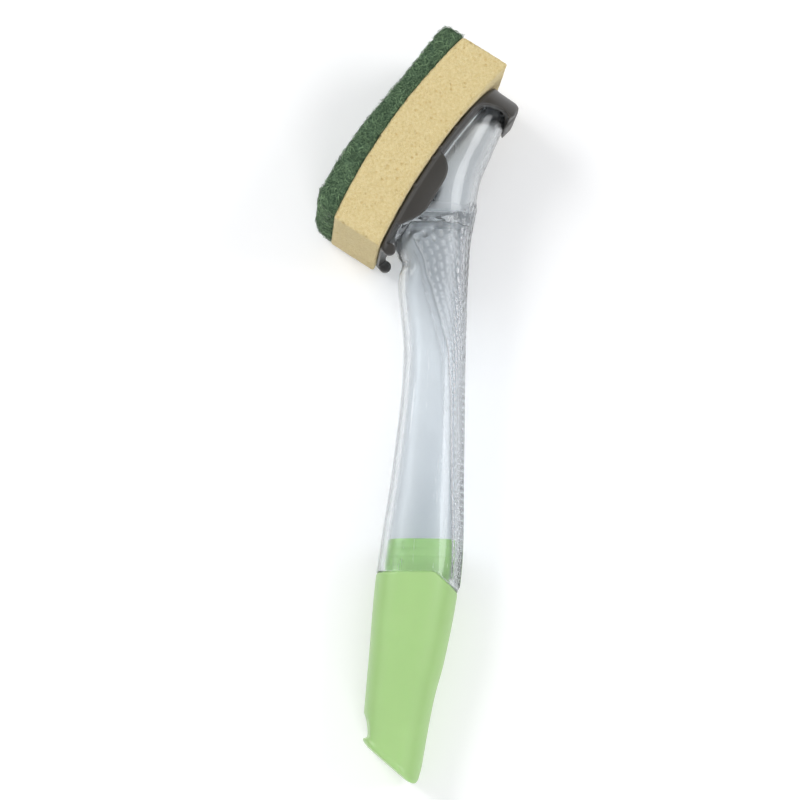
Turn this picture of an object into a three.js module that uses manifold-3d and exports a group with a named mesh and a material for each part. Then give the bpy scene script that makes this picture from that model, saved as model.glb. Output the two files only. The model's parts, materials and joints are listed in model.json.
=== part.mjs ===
// A fill-and-scrub dish wand on its side: clear hollow handle, pull-off end cap and clip-on sponge head.
// Sizes are millimetres. The side profile is drawn in XY with z = 0 as the mid-plane: +Y runs from the cap to
// the head and the sponge faces -X. The last section lays the wand on the floor, with +Z up.

import * as THREE from 'three';
import { mergeVertices } from 'three/addons/utils/BufferGeometryUtils.js';
import Module from 'manifold-3d';

const wasm = await Module();
wasm.setup();

// Handle
const GRIP_LENGTH = 80.7; // cap mouth to waist
const NECK_LENGTH = 70.6; // waist to the middle of the head platform
const TAIL_WIDTH = 30.6; // front to spine at the cap mouth
const GRIP_WIDTH = 25.7; // front to spine halfway up the grip
const WAIST_WIDTH = 22.5;
const BELLY_WIDTH = 25.5; // swell under the finger throat
const BELLY_DROP = 6; // throat to belly
const THROAT_WIDTH = 24.6;
const THROAT_DROP = 36.6; // platform middle to the finger throat
const TAIL_DEPTH = 28; // side to side at the cap mouth
const WAIST_DEPTH = 24.6;
const HEAD_DEPTH = 31; // side to side at the platform
const TAIL_LEAN = 5; // degrees between the tail's axis and Y
const WAIST_SHIFT = 5.85; // waist axis to the right of the tail's
const HANDLE_WALL = 2;
const FRONT_SQUARENESS = 3.2; // superellipse powers of the section
const SPINE_SQUARENESS = 2.4;

// Head platform: t runs to the toe along the chord, n out of the platform
const HEAD_ANGLE = 55.2; // degrees between the platform chord and X
const HEAD_SHIFT = 7.3; // platform middle to the right of the tail's axis
const PLATFORM_RADIUS = 230;
const PLATFORM_HEEL = 34; // middle to heel end
const PLATFORM_TOE = 33.4; // middle to nose end
const NOSE_LENGTH = 16.5; // length of the rounded nose in plan
const HEEL_DEPTH = 26; // platform to spine beside the throat
const HEEL_SPINE_AT = -16.7;
const NECK_DEPTH = 16.4; // platform to spine past the middle
const NECK_SPINE_AT = 4.7;
const NOSE_DEPTH = 11; // platform to the nose underside
const NOSE_SPINE_AT = 29;
const CEILING_DROP = 19; // platform middle to the reservoir ceiling
const CEILING_WALL = 3;
const PLATFORM_WALL = 2.5; // over the reservoir at the heel
const OUTLET_AT = -18;
const OUTLET_BORE = 4;
const OUTLET_BOSS = 9;

// End cap
const CAP_LENGTH = 78; // mouth to tip
const CAP_KINK = 32; // mouth to the bend in its spine
const CAP_KINK_WIDTH = 27.6;
const CAP_FOOT_WIDTH = 21.2;
const CAP_FOOT_DEPTH = 23;
const CAP_GAP = 0.3; // between cap mouth and handle
const TONGUE_WIDTH = 10; // grip tongue that dips into the cap's mouth
const TONGUE_DROP = 8.4;
const PLUG_LENGTH = 12;
const PLUG_WALL = 1.6;
const PLUG_CLEARANCE = 0.45; // the plug slides out past the tongue
const BEAD_HEIGHT = 0.15; // sealing beads on the plug
const CAVITY_DEPTH = 46; // inside the cap, from its mouth
const FOOT_ANGLE = 40.6; // degrees between the foot and X
const FOOT_ROUND = 5;
const NOTCH_TOP = 51; // mouth to the finger notch
const NOTCH_HEIGHT = 8.8;
const NOTCH_DEPTH = 2.4;

// Sponge holder
const SEAT_GAP = 0.3; // platform to plate
const PLATE_THICKNESS = 2.4;
const PLATE_HEEL = 40.5; // platform middle to the plate's heel end
const SIDE_CLEARANCE = 0.4; // round the neck and nose
const EAR_THICKNESS = 2.6;
const EAR_TOE = 2;
const EAR_LENGTH = 31;
const EAR_DEPTH = 6.6;
const PLATE_RIM = 0.5; // plate beyond the ears
const TOE_WALL = 3.6;
const HOOK_REACH = 10.5; // toe wall's outside to the lip's tip
const HOOK_WIDTH = 14;
const LIP_THICKNESS = 1.4;
const LUG_DIAMETER = 4.6;
const LUG_SET_IN = 1.8; // plate's heel end to the lug's axis

// Feed valve
const VALVE_DIAMETER = 10;
const VALVE_THICKNESS = 1.2;
const VALVE_CLEARANCE = 0.3;
const VALVE_SLIT = 3;
const SLIT_WIDTH = 0.5;

// Foam and pad
const SPONGE_LENGTH = 82.6;
const SPONGE_WIDTH = 50;
const FOAM_THICKNESS = 19.5;
const PAD_THICKNESS = 8;
const BOND_GAP = 0.3;
const FACE_SKEW = 0.8; // foam's scrubbing face, set back towards the heel
const PAD_HEEL_ROUND = 5;
const PAD_TOE_ROUND = 7;

const FAR = 200; // reach of the cutting blocks
const RAD = Math.PI / 180;

// Solids

function solidOf(geometry) {
  const bare = new THREE.BufferGeometry();
  bare.setAttribute('position', geometry.getAttribute('position'));
  bare.setIndex(geometry.index);
  const merged = mergeVertices(bare, 1e-4);
  return new wasm.Manifold(new wasm.Mesh({
    numProp: 3,
    vertProperties: merged.attributes.position.array,
    triVerts: new Uint32Array(merged.index.array),
  }));
}

function meshOf(name, solid, material) {
  const { vertProperties, triVerts } = solid.getMesh();
  const geometry = new THREE.BufferGeometry();
  geometry.setAttribute('position', new THREE.BufferAttribute(vertProperties, 3));
  geometry.setIndex(new THREE.BufferAttribute(triVerts, 1));
  geometry.computeVertexNormals();
  const mesh = new THREE.Mesh(geometry, material);
  mesh.name = name;
  return mesh;
}

const join = (...solids) => wasm.Manifold.union(solids);

// A side profile carried from z0 to z1.
function sideways(shape, z0, z1) {
  const options = { depth: z1 - z0, bevelEnabled: false, curveSegments: 10 };
  const geometry = new THREE.ExtrudeGeometry(shape, options);
  return solidOf(geometry.translate(0, 0, z0));
}

// A plan outline, drawn in t and z, carried along n.
function upright(shape, n0, n1) {
  const options = { depth: n1 - n0, bevelEnabled: false, curveSegments: 20 };
  const geometry = new THREE.ExtrudeGeometry(shape, options);
  return solidOf(geometry.rotateX(-Math.PI / 2).translate(0, n0, 0));
}

const polygon = (points) => new THREE.Shape(points.map(([x, y]) => new THREE.Vector2(x, y)));

// Wraps closed rings of equal count in one skin, with a fan over each end.
function loft(rings) {
  const count = rings[0].length;
  const points = rings.flat();
  const index = [];
  for (let i = 0; i + 1 < rings.length; i++) {
    for (let k = 0; k < count; k++) {
      const a = i * count + k;
      const b = i * count + ((k + 1) % count);
      index.push(a, a + count, b, b, a + count, b + count);
    }
  }
  for (const [first, turn] of [[0, 1], [(rings.length - 1) * count, 0]]) {
    const ring = points.slice(first, first + count);
    const middle = ring.reduce((sum, p) => sum.add(p), new THREE.Vector3()).divideScalar(count);
    points.push(middle);
    for (let k = 0; k < count; k++) {
      const a = first + k;
      const b = first + ((k + 1) % count);
      index.push(points.length - 1, ...(turn ? [a, b] : [b, a]));
    }
  }
  return solidOf(new THREE.BufferGeometry().setFromPoints(points).setIndex(index));
}

// Head frame

const headY = GRIP_LENGTH + NECK_LENGTH;
const headFrame = new THREE.Matrix4().makeRotationZ(HEAD_ANGLE * RAD).setPosition(HEAD_SHIFT, headY, 0);
const inHead = (t, n) => new THREE.Vector3(t, n, 0).applyMatrix4(headFrame);
const toProfile = (solid) => solid.transform(headFrame.elements);
const crown = (t) => Math.sqrt(PLATFORM_RADIUS ** 2 - t ** 2) - PLATFORM_RADIUS;

// Points along the crown from t0 to t1, n above it.
function crownLine(n, t0, t1) {
  const steps = 20;
  const ts = Array.from({ length: steps + 1 }, (_, i) => t0 + ((t1 - t0) * i) / steps);
  return ts.map((t) => [t, crown(t) + n]);
}

// A layer over the platform's crown, from n0 to n1 above it and from t0 to t1, with its upper face set back.
function layer(n0, n1, t0, t1, setBack = 0) {
  const above = crownLine(n1, t1, t0).map(([t, n]) => [t - setBack, n]);
  return polygon([...crownLine(n0, t0, t1), ...above]);
}

// Everything more than n above the crown.
const aboveCrown = (n) => sideways(layer(n, FAR, -80, 80), -FAR, FAR);

const noseStart = PLATFORM_TOE - NOSE_LENGTH;

// The neck's plan outline grown by a margin: straight sides and an elliptical nose.
function neckPlan(margin, noseMargin = margin, heel = FAR) {
  const half = HEAD_DEPTH / 2 + margin;
  const shape = new THREE.Shape();
  shape.moveTo(-heel, -half).lineTo(noseStart, -half);
  shape.absellipse(noseStart, 0, NOSE_LENGTH + noseMargin, half, -Math.PI / 2, Math.PI / 2);
  return shape.lineTo(-heel, half).closePath();
}

// Skin of handle and cap together, as paired front and spine edges that carry the half depth in z

const lean = Math.tan(TAIL_LEAN * RAD);
const tailFront = (y) => -TAIL_WIDTH / 2 + y * lean;

function edgePair(x, y, width, depth) {
  return [new THREE.Vector3(x - width / 2, y, depth / 2), new THREE.Vector3(x + width / 2, y, depth / 2)];
}

function capPair(down, width, depth) {
  return edgePair(tailFront(-down) + width / 2, -down, width, depth);
}

function headPair(front, spine, depth) {
  return [inHead(...front).setZ(depth / 2), inHead(...spine).setZ(depth / 2)];
}

// From past the foot to past the nose. Over the platform the front edge runs clear of it, and is cut away.
const throatY = headY - THROAT_DROP;
const kinkDepth = (TAIL_DEPTH + CAP_FOOT_DEPTH) / 2;
const midway = (a, b) => (a + b) / 2;
const pairs = [
  capPair(CAP_LENGTH + 8, CAP_FOOT_WIDTH, CAP_FOOT_DEPTH),
  capPair(CAP_KINK + 14, CAP_KINK_WIDTH * 0.6 + CAP_FOOT_WIDTH * 0.4, kinkDepth),
  capPair(CAP_KINK, CAP_KINK_WIDTH, midway(kinkDepth, TAIL_DEPTH)),
  edgePair(0, 0, TAIL_WIDTH, TAIL_DEPTH),
  edgePair((GRIP_LENGTH / 2) * lean, GRIP_LENGTH / 2, GRIP_WIDTH, midway(TAIL_DEPTH, WAIST_DEPTH)),
  edgePair(WAIST_SHIFT, GRIP_LENGTH, WAIST_WIDTH, WAIST_DEPTH),
  edgePair(WAIST_SHIFT - 0.5, throatY - BELLY_DROP, BELLY_WIDTH, WAIST_DEPTH + 0.6),
  edgePair(WAIST_SHIFT + 0.35, throatY, THROAT_WIDTH, WAIST_DEPTH + 1.2),
  headPair([-PLATFORM_HEEL, -4.8], [HEEL_SPINE_AT, -HEEL_DEPTH], HEAD_DEPTH - 3.5),
  headPair([-22, 6], [midway(HEEL_SPINE_AT, NECK_SPINE_AT), -midway(HEEL_DEPTH, NECK_DEPTH)], HEAD_DEPTH),
  headPair([-4, 12], [NECK_SPINE_AT, -NECK_DEPTH], HEAD_DEPTH),
  headPair([14, 11], [midway(NECK_SPINE_AT, NOSE_SPINE_AT), -midway(NECK_DEPTH, NOSE_DEPTH)], HEAD_DEPTH - 1),
  headPair([28, 9], [NOSE_SPINE_AT, -NOSE_DEPTH], HEAD_DEPTH - 5),
  headPair([38, 8], [NOSE_SPINE_AT + 9, -NOSE_DEPTH + 3.5], HEAD_DEPTH - 8),
];
const frontEdge = new THREE.CatmullRomCurve3(pairs.map(([front]) => front));
const spineEdge = new THREE.CatmullRomCurve3(pairs.map(([, spine]) => spine));

function skin(inset, sides, perPair) {
  const steps = (pairs.length - 1) * perPair;
  const rings = [];
  for (let i = 0; i <= steps; i++) {
    const front = frontEdge.getPoint(i / steps);
    const spine = spineEdge.getPoint(i / steps);
    const halfDepth = front.z - inset;
    const across = spine.clone().sub(front).setZ(0);
    const halfWidth = across.length() / 2 - inset;
    const middle = front.clone().add(spine).divideScalar(2).setZ(0);
    across.normalize();
    const ring = [];
    for (let k = 0; k < sides; k++) {
      const c = Math.cos((2 * Math.PI * k) / sides);
      const s = Math.sin((2 * Math.PI * k) / sides);
      const power = 2 / (c > 0 ? SPINE_SQUARENESS : FRONT_SQUARENESS);
      const point = middle.clone().addScaledVector(across, halfWidth * Math.sign(c) * Math.abs(c) ** power);
      ring.push(point.setZ(halfDepth * Math.sign(s) * Math.abs(s) ** power));
    }
    rings.push(ring);
  }
  return loft(rings);
}

const overPlatform = (lift) => toProfile(aboveCrown(lift));
const pastNose = (margin) => toProfile(
  upright(polygon([[noseStart, -FAR], [FAR, -FAR], [FAR, FAR], [noseStart, FAR]]), -FAR, FAR)
    .subtract(upright(neckPlan(margin), -FAR, FAR)),
);
const between = (y0, y1) => solidOf(
  new THREE.BoxGeometry(2 * FAR, y1 - y0, 2 * FAR).translate(0, (y0 + y1) / 2, 0),
);

// Everything under the cap's mouth, which dips at the spine round the handle's grip tongue.
function underMouth(lift) {
  const spine = TAIL_WIDTH / 2;
  return sideways(polygon([
    [-FAR, lift], [spine - TONGUE_WIDTH, lift], [spine, lift - TONGUE_DROP], [FAR, lift - TONGUE_DROP],
    [FAR, -FAR], [-FAR, -FAR],
  ]), -FAR, FAR);
}

const outside = skin(0, 40, 4);
const inside = skin(HANDLE_WALL, 28, 2);

// Handle

const ceilingY = headY - CEILING_DROP;
const reservoir = inside.intersect(between(-FAR, ceilingY - CEILING_WALL))
  .subtract(overPlatform(-PLATFORM_WALL));
const pocket = inside.intersect(between(ceilingY, headY + FAR)).subtract(pastNose(-HANDLE_WALL));
const outletTilt = -Math.asin(OUTLET_AT / PLATFORM_RADIUS); // square to the crown
const atOutlet = (geometry) => solidOf(
  geometry.rotateZ(outletTilt).translate(OUTLET_AT, crown(OUTLET_AT), 0),
);
const outletRound = (diameter, n0, n1) => atOutlet(
  new THREE.CylinderGeometry(diameter / 2, diameter / 2, n1 - n0, 24).translate(0, (n0 + n1) / 2, 0),
);
const neck = outside.subtract(overPlatform(0)).subtract(pastNose(0));
const boss = toProfile(outletRound(OUTLET_BOSS, -30, 2))
  .intersect(neck)
  .intersect(between(ceilingY - CEILING_WALL, headY + FAR));
const handle = join(neck.subtract(join(reservoir, pocket)), boss)
  .subtract(toProfile(outletRound(OUTLET_BORE, -CEILING_DROP - 3, 2)))
  .subtract(underMouth(CAP_GAP / 2));

// End cap

const footSlope = new THREE.Vector2(1, 0).rotateAround(new THREE.Vector2(), -FOOT_ANGLE * RAD);
const tip = new THREE.Vector2(tailFront(-CAP_LENGTH) + CAP_FOOT_WIDTH, -CAP_LENGTH);
const footLength = CAP_FOOT_WIDTH / (footSlope.x - footSlope.y * lean);
const heelOfFoot = tip.clone().addScaledVector(footSlope, -footLength);

// Everything below the slanted foot, rounded at the lip and at the tip.
function underFoot() {
  const shape = new THREE.Shape();
  const lip = heelOfFoot.clone().addScaledVector(footSlope, FOOT_ROUND);
  const before = tip.clone().addScaledVector(footSlope, -FOOT_ROUND);
  shape.moveTo(-FAR, heelOfFoot.y + FOOT_ROUND * 0.6).lineTo(heelOfFoot.x, heelOfFoot.y + FOOT_ROUND * 0.6);
  shape.quadraticCurveTo(heelOfFoot.x, heelOfFoot.y, lip.x, lip.y).lineTo(before.x, before.y);
  shape.quadraticCurveTo(tip.x, tip.y, tip.x + 1.1, tip.y + FOOT_ROUND);
  return sideways(shape.lineTo(FAR, tip.y + FOOT_ROUND).lineTo(FAR, -FAR).lineTo(-FAR, -FAR), -FAR, FAR);
}

function fingerNotch() {
  const shape = new THREE.Shape();
  const floorY = -NOTCH_TOP - NOTCH_HEIGHT;
  const floorX = tailFront(floorY) + NOTCH_DEPTH;
  shape.moveTo(-FAR, -NOTCH_TOP).lineTo(tailFront(-NOTCH_TOP), -NOTCH_TOP);
  shape.bezierCurveTo(floorX, -NOTCH_TOP - 2.4, floorX, floorY + 3, floorX, floorY + 1.2);
  shape.quadraticCurveTo(floorX, floorY, floorX - 1.2, floorY).lineTo(-FAR, floorY);
  return sideways(shape, -FAR, FAR);
}

const plugInset = HANDLE_WALL + PLUG_CLEARANCE;
const bead = (y) => skin(plugInset - BEAD_HEIGHT, 28, 2).intersect(between(y, y + 0.8));
const plug = join(
  skin(plugInset, 28, 2).intersect(between(-TONGUE_DROP - 2, PLUG_LENGTH)),
  bead(PLUG_LENGTH * 0.45),
  bead(PLUG_LENGTH * 0.7),
);
const cap = join(outside.intersect(underMouth(-CAP_GAP / 2)), plug)
  .subtract(skin(plugInset + PLUG_WALL, 28, 2).intersect(between(-CAVITY_DEPTH, FAR)))
  .subtract(underFoot())
  .subtract(fingerNotch());

// Sponge holder, in the head frame

const plateHalf = HEAD_DEPTH / 2 + SIDE_CLEARANCE + EAR_THICKNESS + PLATE_RIM;
const plateTop = SEAT_GAP + PLATE_THICKNESS;
const valveTop = SEAT_GAP + VALVE_THICKNESS;
const toeOut = PLATFORM_TOE + SIDE_CLEARANCE + TOE_WALL;
const outline = upright(
  neckPlan(plateHalf - HEAD_DEPTH / 2, SIDE_CLEARANCE + TOE_WALL, PLATE_HEEL), -FAR, FAR,
);
const toHead = (solid) => solid.transform(headFrame.clone().invert().elements);
const neckRoom = toHead(
  skin(-SIDE_CLEARANCE, 40, 4).subtract(overPlatform(SEAT_GAP)).subtract(pastNose(SIDE_CLEARANCE)),
);
const bottom = -NOSE_DEPTH - LIP_THICKNESS - 0.5;
const toeRoot = PLATFORM_TOE - 8.5;
const toeWall = sideways(polygon([
  [toeRoot, 0.6], [toeRoot, crown(toeRoot)], [PLATFORM_TOE - 0.4, -6], [PLATFORM_TOE + 0.6, bottom + 1.2],
  [toeOut - 2.4, bottom + 1.2], [toeOut - 0.6, bottom + 2.8], [toeOut, bottom + 4.4], [toeOut, 0.6],
]), -plateHalf, plateHalf);
const lip = sideways(polygon([
  [toeOut - HOOK_REACH, bottom + 0.1], [toeOut - 8, bottom], [toeOut - 4.4, bottom + 0.4],
  [toeOut - 2.4, bottom + 1.2], [toeOut - 0.6, bottom + 2.8], [toeOut, bottom + 4.4], [toeOut, -5],
  [PLATFORM_TOE - 5, -5], [toeOut - HOOK_REACH, bottom + 2],
]), -HOOK_WIDTH / 2, HOOK_WIDTH / 2);

function ear() {
  const heel = EAR_TOE - EAR_LENGTH;
  const shape = new THREE.Shape().moveTo(EAR_TOE, 1).lineTo(EAR_TOE, 0);
  shape.quadraticCurveTo(EAR_TOE - 2, -EAR_DEPTH * 0.85, EAR_TOE - 9, -EAR_DEPTH * 0.9);
  shape.lineTo(heel + 11, -EAR_DEPTH);
  return shape.quadraticCurveTo(heel + 7, -EAR_DEPTH, heel, crown(heel)).lineTo(heel, 1).closePath();
}

function bothSides(shape) {
  const z = HEAD_DEPTH / 2 + SIDE_CLEARANCE;
  return join(sideways(shape, z, z + EAR_THICKNESS), sideways(shape, -z - EAR_THICKNESS, -z));
}

const lugAt = -PLATE_HEEL + LUG_SET_IN;
const lug = new THREE.Shape().absarc(lugAt, crown(lugAt) - 0.8, LUG_DIAMETER / 2, 0, 2 * Math.PI);
const holder = join(
  sideways(layer(SEAT_GAP, plateTop, -PLATE_HEEL, toeOut), -plateHalf, plateHalf).intersect(outline),
  join(toeWall, lip).intersect(outline),
  bothSides(ear()),
  bothSides(lug),
)
  .subtract(neckRoom)
  .subtract(aboveCrown(plateTop))
  .subtract(outletRound(VALVE_DIAMETER + 2 * VALVE_CLEARANCE, -20, valveTop + VALVE_CLEARANCE))
  .subtract(outletRound(OUTLET_BORE, -20, 20));

const valve = outletRound(VALVE_DIAMETER, SEAT_GAP, valveTop)
  .subtract(atOutlet(new THREE.BoxGeometry(VALVE_SLIT, 20, SLIT_WIDTH)));

// Foam and scouring pad, in the head frame

const half = SPONGE_LENGTH / 2;
const foamBack = plateTop + BOND_GAP;
const padBack = foamBack + FOAM_THICKNESS + BOND_GAP;
const foam = sideways(
  layer(foamBack, foamBack + FOAM_THICKNESS, -half, half, FACE_SKEW), -SPONGE_WIDTH / 2, SPONGE_WIDTH / 2,
);

function padProfile() {
  const shape = polygon(crownLine(padBack, -half, half));
  const scrub = crownLine(padBack + PAD_THICKNESS, half - PAD_TOE_ROUND, -half + PAD_HEEL_ROUND);
  const rim = crown(half) + padBack;
  shape.lineTo(half, rim + PAD_THICKNESS / 2).quadraticCurveTo(half, rim + PAD_THICKNESS, ...scrub[0]);
  scrub.slice(1).forEach(([t, n]) => shape.lineTo(t, n));
  return shape.quadraticCurveTo(-half, rim + PAD_THICKNESS, -half, rim + PAD_THICKNESS / 2).closePath();
}

const pad = sideways(padProfile(), -SPONGE_WIDTH / 2, SPONGE_WIDTH / 2).translate(-FACE_SKEW, 0, 0);

// Assembly

const material = (color, roughness) => new THREE.MeshStandardMaterial({ color, roughness });
const clear = material(0xdfe9ee, 0.08);
clear.transparent = true;
clear.opacity = 0.35;
const wand = new THREE.Group();
wand.add(meshOf('handle_reservoir', handle, clear));
wand.add(meshOf('end_cap', cap, material(0xa3cf83, 0.4)));
const head = new THREE.Group();
headFrame.decompose(head.position, head.quaternion, head.scale);
head.add(meshOf('sponge_holder', holder, material(0x2e2e2d, 0.5)));
head.add(meshOf('feed_valve', valve, material(0xd8d8d2, 0.6)));
head.add(meshOf('foam_block', foam, material(0xe8d59b, 0.95)));
head.add(meshOf('scouring_pad', pad, material(0x2f5f43, 1)));
wand.add(head);

// Floor: the plane through the foam's lower back edge that also touches the cap's flank

function floorNormal() {
  const heel = inHead(-half, crown(half) + foamBack).setZ(-SPONGE_WIDTH / 2);
  const toe = inHead(half, crown(half) + foamBack).setZ(-SPONGE_WIDTH / 2);
  const along = toe.clone().sub(heel).normalize();
  const toHandle = new THREE.Vector3(along.y, -along.x, 0);
  const vertices = wand.getObjectByName('end_cap').geometry.getAttribute('position');
  let slope = Infinity;
  for (let i = 0; i < vertices.count; i++) {
    const offset = new THREE.Vector3().fromBufferAttribute(vertices, i).sub(heel);
    slope = Math.min(slope, offset.z / offset.dot(toHandle));
  }
  return toHandle.multiplyScalar(-slope).setZ(1).normalize();
}

wand.quaternion.setFromUnitVectors(floorNormal(), new THREE.Vector3(0, 0, 1));
const object = new THREE.Group();
object.add(wand);
const box = new THREE.Box3().setFromObject(object, true);
const middle = box.getCenter(new THREE.Vector3());
wand.position.set(-middle.x, -middle.y, -box.min.z);

export default object;
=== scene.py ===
# %% [markdown]
# # A refillable dish wand, dressed
# The wand is a clear hollow handle for washing-up liquid, a green cap that plugs its tail, and a dark clip-on
# holder with a block of foam and a scouring web. The measured solids come in as a fixed frame. This lesson
# rebuilds each visible surface around them: smooth clear walls, moulded grip dashes, open-celled foam and a
# tangle of fibres.

# %% Load the frame
import json
import math

import bpy
import numpy as np
from mathutils import Matrix, Vector


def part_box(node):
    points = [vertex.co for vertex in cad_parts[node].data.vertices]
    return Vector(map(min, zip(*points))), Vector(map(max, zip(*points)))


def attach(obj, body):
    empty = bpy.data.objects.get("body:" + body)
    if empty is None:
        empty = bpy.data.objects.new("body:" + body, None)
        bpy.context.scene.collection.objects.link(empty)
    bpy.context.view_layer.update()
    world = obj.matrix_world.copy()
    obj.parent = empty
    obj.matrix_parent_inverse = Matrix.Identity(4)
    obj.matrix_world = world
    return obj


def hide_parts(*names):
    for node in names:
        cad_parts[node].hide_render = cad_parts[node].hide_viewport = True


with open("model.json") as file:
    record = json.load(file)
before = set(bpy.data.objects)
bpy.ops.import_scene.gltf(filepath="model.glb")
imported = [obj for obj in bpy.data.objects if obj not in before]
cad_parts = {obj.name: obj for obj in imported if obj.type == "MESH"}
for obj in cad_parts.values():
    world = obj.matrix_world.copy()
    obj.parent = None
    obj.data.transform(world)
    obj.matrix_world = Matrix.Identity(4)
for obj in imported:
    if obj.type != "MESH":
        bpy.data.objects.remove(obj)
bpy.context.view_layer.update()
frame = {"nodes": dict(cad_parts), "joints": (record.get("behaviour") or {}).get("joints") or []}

# %% [markdown]
# ## One profile, one placement
# The wand is drawn flat first, in millimetres: y runs up from the cap's mouth, the sponge faces -x, and z is
# depth from the mid-plane. The head has its own pair of directions, t along the platform and n out of it.
# The real one lies tilted on the floor, so the turn is worked out from the two joint axes, and the shift from
# the foam's own box. Nothing is fitted by eye, and a changed frame moves the lesson with it.

# %% Profile directions and the placement
HEAD_ANGLE, HEAD_SHIFT, HEAD_Y = math.radians(55.2), 7.3, 151.3
PLATFORM_RADIUS, PLATFORM_TOE, NOSE_LENGTH, HEAD_DEPTH = 230.0, 33.4, 16.5, 31.0
SEAT_GAP, PLATE_THICKNESS, BOND_GAP = 0.3, 2.4, 0.3
SPONGE_LENGTH, SPONGE_WIDTH, FOAM_THICKNESS, PAD_THICKNESS, FACE_SKEW = 82.6, 50.0, 19.5, 8.0, 0.8
PLATE_TOP = SEAT_GAP + PLATE_THICKNESS
FOAM_BACK = PLATE_TOP + BOND_GAP
PAD_BACK = FOAM_BACK + FOAM_THICKNESS + BOND_GAP
ALONG = np.array([math.cos(HEAD_ANGLE), math.sin(HEAD_ANGLE)])
OUT = np.array([-math.sin(HEAD_ANGLE), math.cos(HEAD_ANGLE)])


def crown(t):
    return np.sqrt(PLATFORM_RADIUS**2 - np.square(t)) - PLATFORM_RADIUS


def from_head(t, n, z=0.0):
    """Head directions to profile millimetres."""
    t, n, z = np.broadcast_arrays(np.asarray(t, float), n, z)
    return np.stack([HEAD_SHIFT + t * ALONG[0] + n * OUT[0], HEAD_Y + t * ALONG[1] + n * OUT[1], z], -1)


def to_head(x, y):
    dx, dy = x - HEAD_SHIFT, y - HEAD_Y
    return dx * ALONG[0] + dy * ALONG[1], dx * OUT[0] + dy * OUT[1]


def axes_of(first, second):
    x = Vector(first).normalized()
    z = x.cross(Vector(second)).normalized()
    return Matrix((x, z.cross(x), z)).transposed()


joint_axis = {j["name"]: j["axis"] for j in frame["joints"]}
TAIL_LEAN, SLIDE_ANGLE = math.radians(5), math.radians(68.2)
drawn_pull = (-math.sin(TAIL_LEAN), -math.cos(TAIL_LEAN), 0)
drawn = axes_of(drawn_pull, (math.cos(SLIDE_ANGLE), math.sin(SLIDE_ANGLE), 0))
TURN = np.array(axes_of(joint_axis["cap_pull"], joint_axis["head_slide"]) @ drawn.transposed())

foam_t = np.linspace(-SPONGE_LENGTH / 2, SPONGE_LENGTH / 2, 21)
foam_rim = np.concatenate([
    from_head(foam_t - skew, crown(foam_t) + FOAM_BACK + rise, z)
    for rise, skew in ((0, 0), (FOAM_THICKNESS, FACE_SKEW)) for z in (-SPONGE_WIDTH / 2, SPONGE_WIDTH / 2)
]) @ TURN.T / 1000
foam_low, foam_high = (np.array(corner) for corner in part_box("foam_block"))
SHIFT = foam_low - foam_rim.min(0)
print("placement off by", round(float(np.abs(foam_high - foam_rim.max(0) - SHIFT).max() * 1000), 4), "mm")


def placed(points):
    """Profile millimetres to the frame's metres."""
    return np.asarray(points, float) @ TURN.T / 1000 + SHIFT


# %% [markdown]
# ## Camera
# The photograph looks almost straight down at the wand, a little from the tail and from the sponge's side.
# A long lens at 0.9 m gives the same small amount of perspective.

# %% Camera at the photograph's angle
TILT, YAW, VIEW_ANGLE = math.radians(7.5), math.radians(-3), math.radians(18.67)
FAR_OFF = 900.0
target = np.array([-6.66, 64.01, 0.0])
toward = np.array([math.sin(YAW), -math.sin(TILT), math.cos(TILT)])
toward /= np.linalg.norm(toward)
eye = Vector(placed(target + FAR_OFF * toward))
look = Vector(placed(target)) - eye
up = Vector(TURN @ np.array([0.0, 1.0, 0.0]))
side = look.cross(up).normalized()
lens = bpy.data.cameras.new("photo_camera")
lens.sensor_fit, lens.sensor_width = "HORIZONTAL", 36
lens.angle = VIEW_ANGLE
lens.clip_start, lens.clip_end = 0.01, 20
camera = bpy.data.objects.new("photo_camera", lens)
bpy.context.scene.collection.objects.link(camera)
camera.matrix_world = Matrix.Translation(eye) @ Matrix(
    (side, side.cross(look).normalized(), -look.normalized())
).transposed().to_4x4()
bpy.context.scene.camera = camera
bpy.context.scene.view_settings.view_transform = "Standard"
print("camera at", [round(v, 3) for v in eye])

# %% [markdown]
# ## Small tools for node trees and meshes
# Every pattern below is a node tree written in code, so one helper adds a node, sets its switches and feeds
# its inputs from numbers or from other nodes. Others start a material, turn points in profile millimetres into
# a mesh in the frame, settle live modifiers into plain mesh, and end a tree that lifts relief out of a skin.


# %% Helpers
def add(tree, kind, inputs=None, **switches):
    """A node with its switches set and its inputs fed by numbers or by other nodes' outputs."""
    made = tree.nodes.new(kind)
    for name, value in switches.items():
        setattr(made, name, value)
    for key, value in (inputs or {}).items():
        if isinstance(value, bpy.types.NodeSocket):
            tree.links.new(value, made.inputs[key])
        else:
            made.inputs[key].default_value = value
    return made


def maths(tree, operation, first, second=0.0, clamp=False):
    return add(tree, "ShaderNodeMath", {0: first, 1: second}, operation=operation, use_clamp=clamp).outputs[0]


def smooth_range(tree, value, low, high, out_low=0.0, out_high=1.0):
    return add(tree, "ShaderNodeMapRange", {
        "Value": value, "From Min": low, "From Max": high, "To Min": out_low, "To Max": out_high,
    }, interpolation_type="SMOOTHSTEP").outputs["Result"]


def mix_colours(tree, factor, first, second):
    """A blend of two colours; a Mix node's colour sockets are inputs 6 and 7 and output 2."""
    return add(tree, "ShaderNodeMix", {"Factor": factor, 6: first, 7: second}, data_type="RGBA").outputs[2]


def new_material(name):
    """A material, its node tree and the shader in it."""
    made = bpy.data.materials.new(name)
    made.use_nodes = True
    return made, made.node_tree, made.node_tree.nodes["Principled BSDF"]


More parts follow.
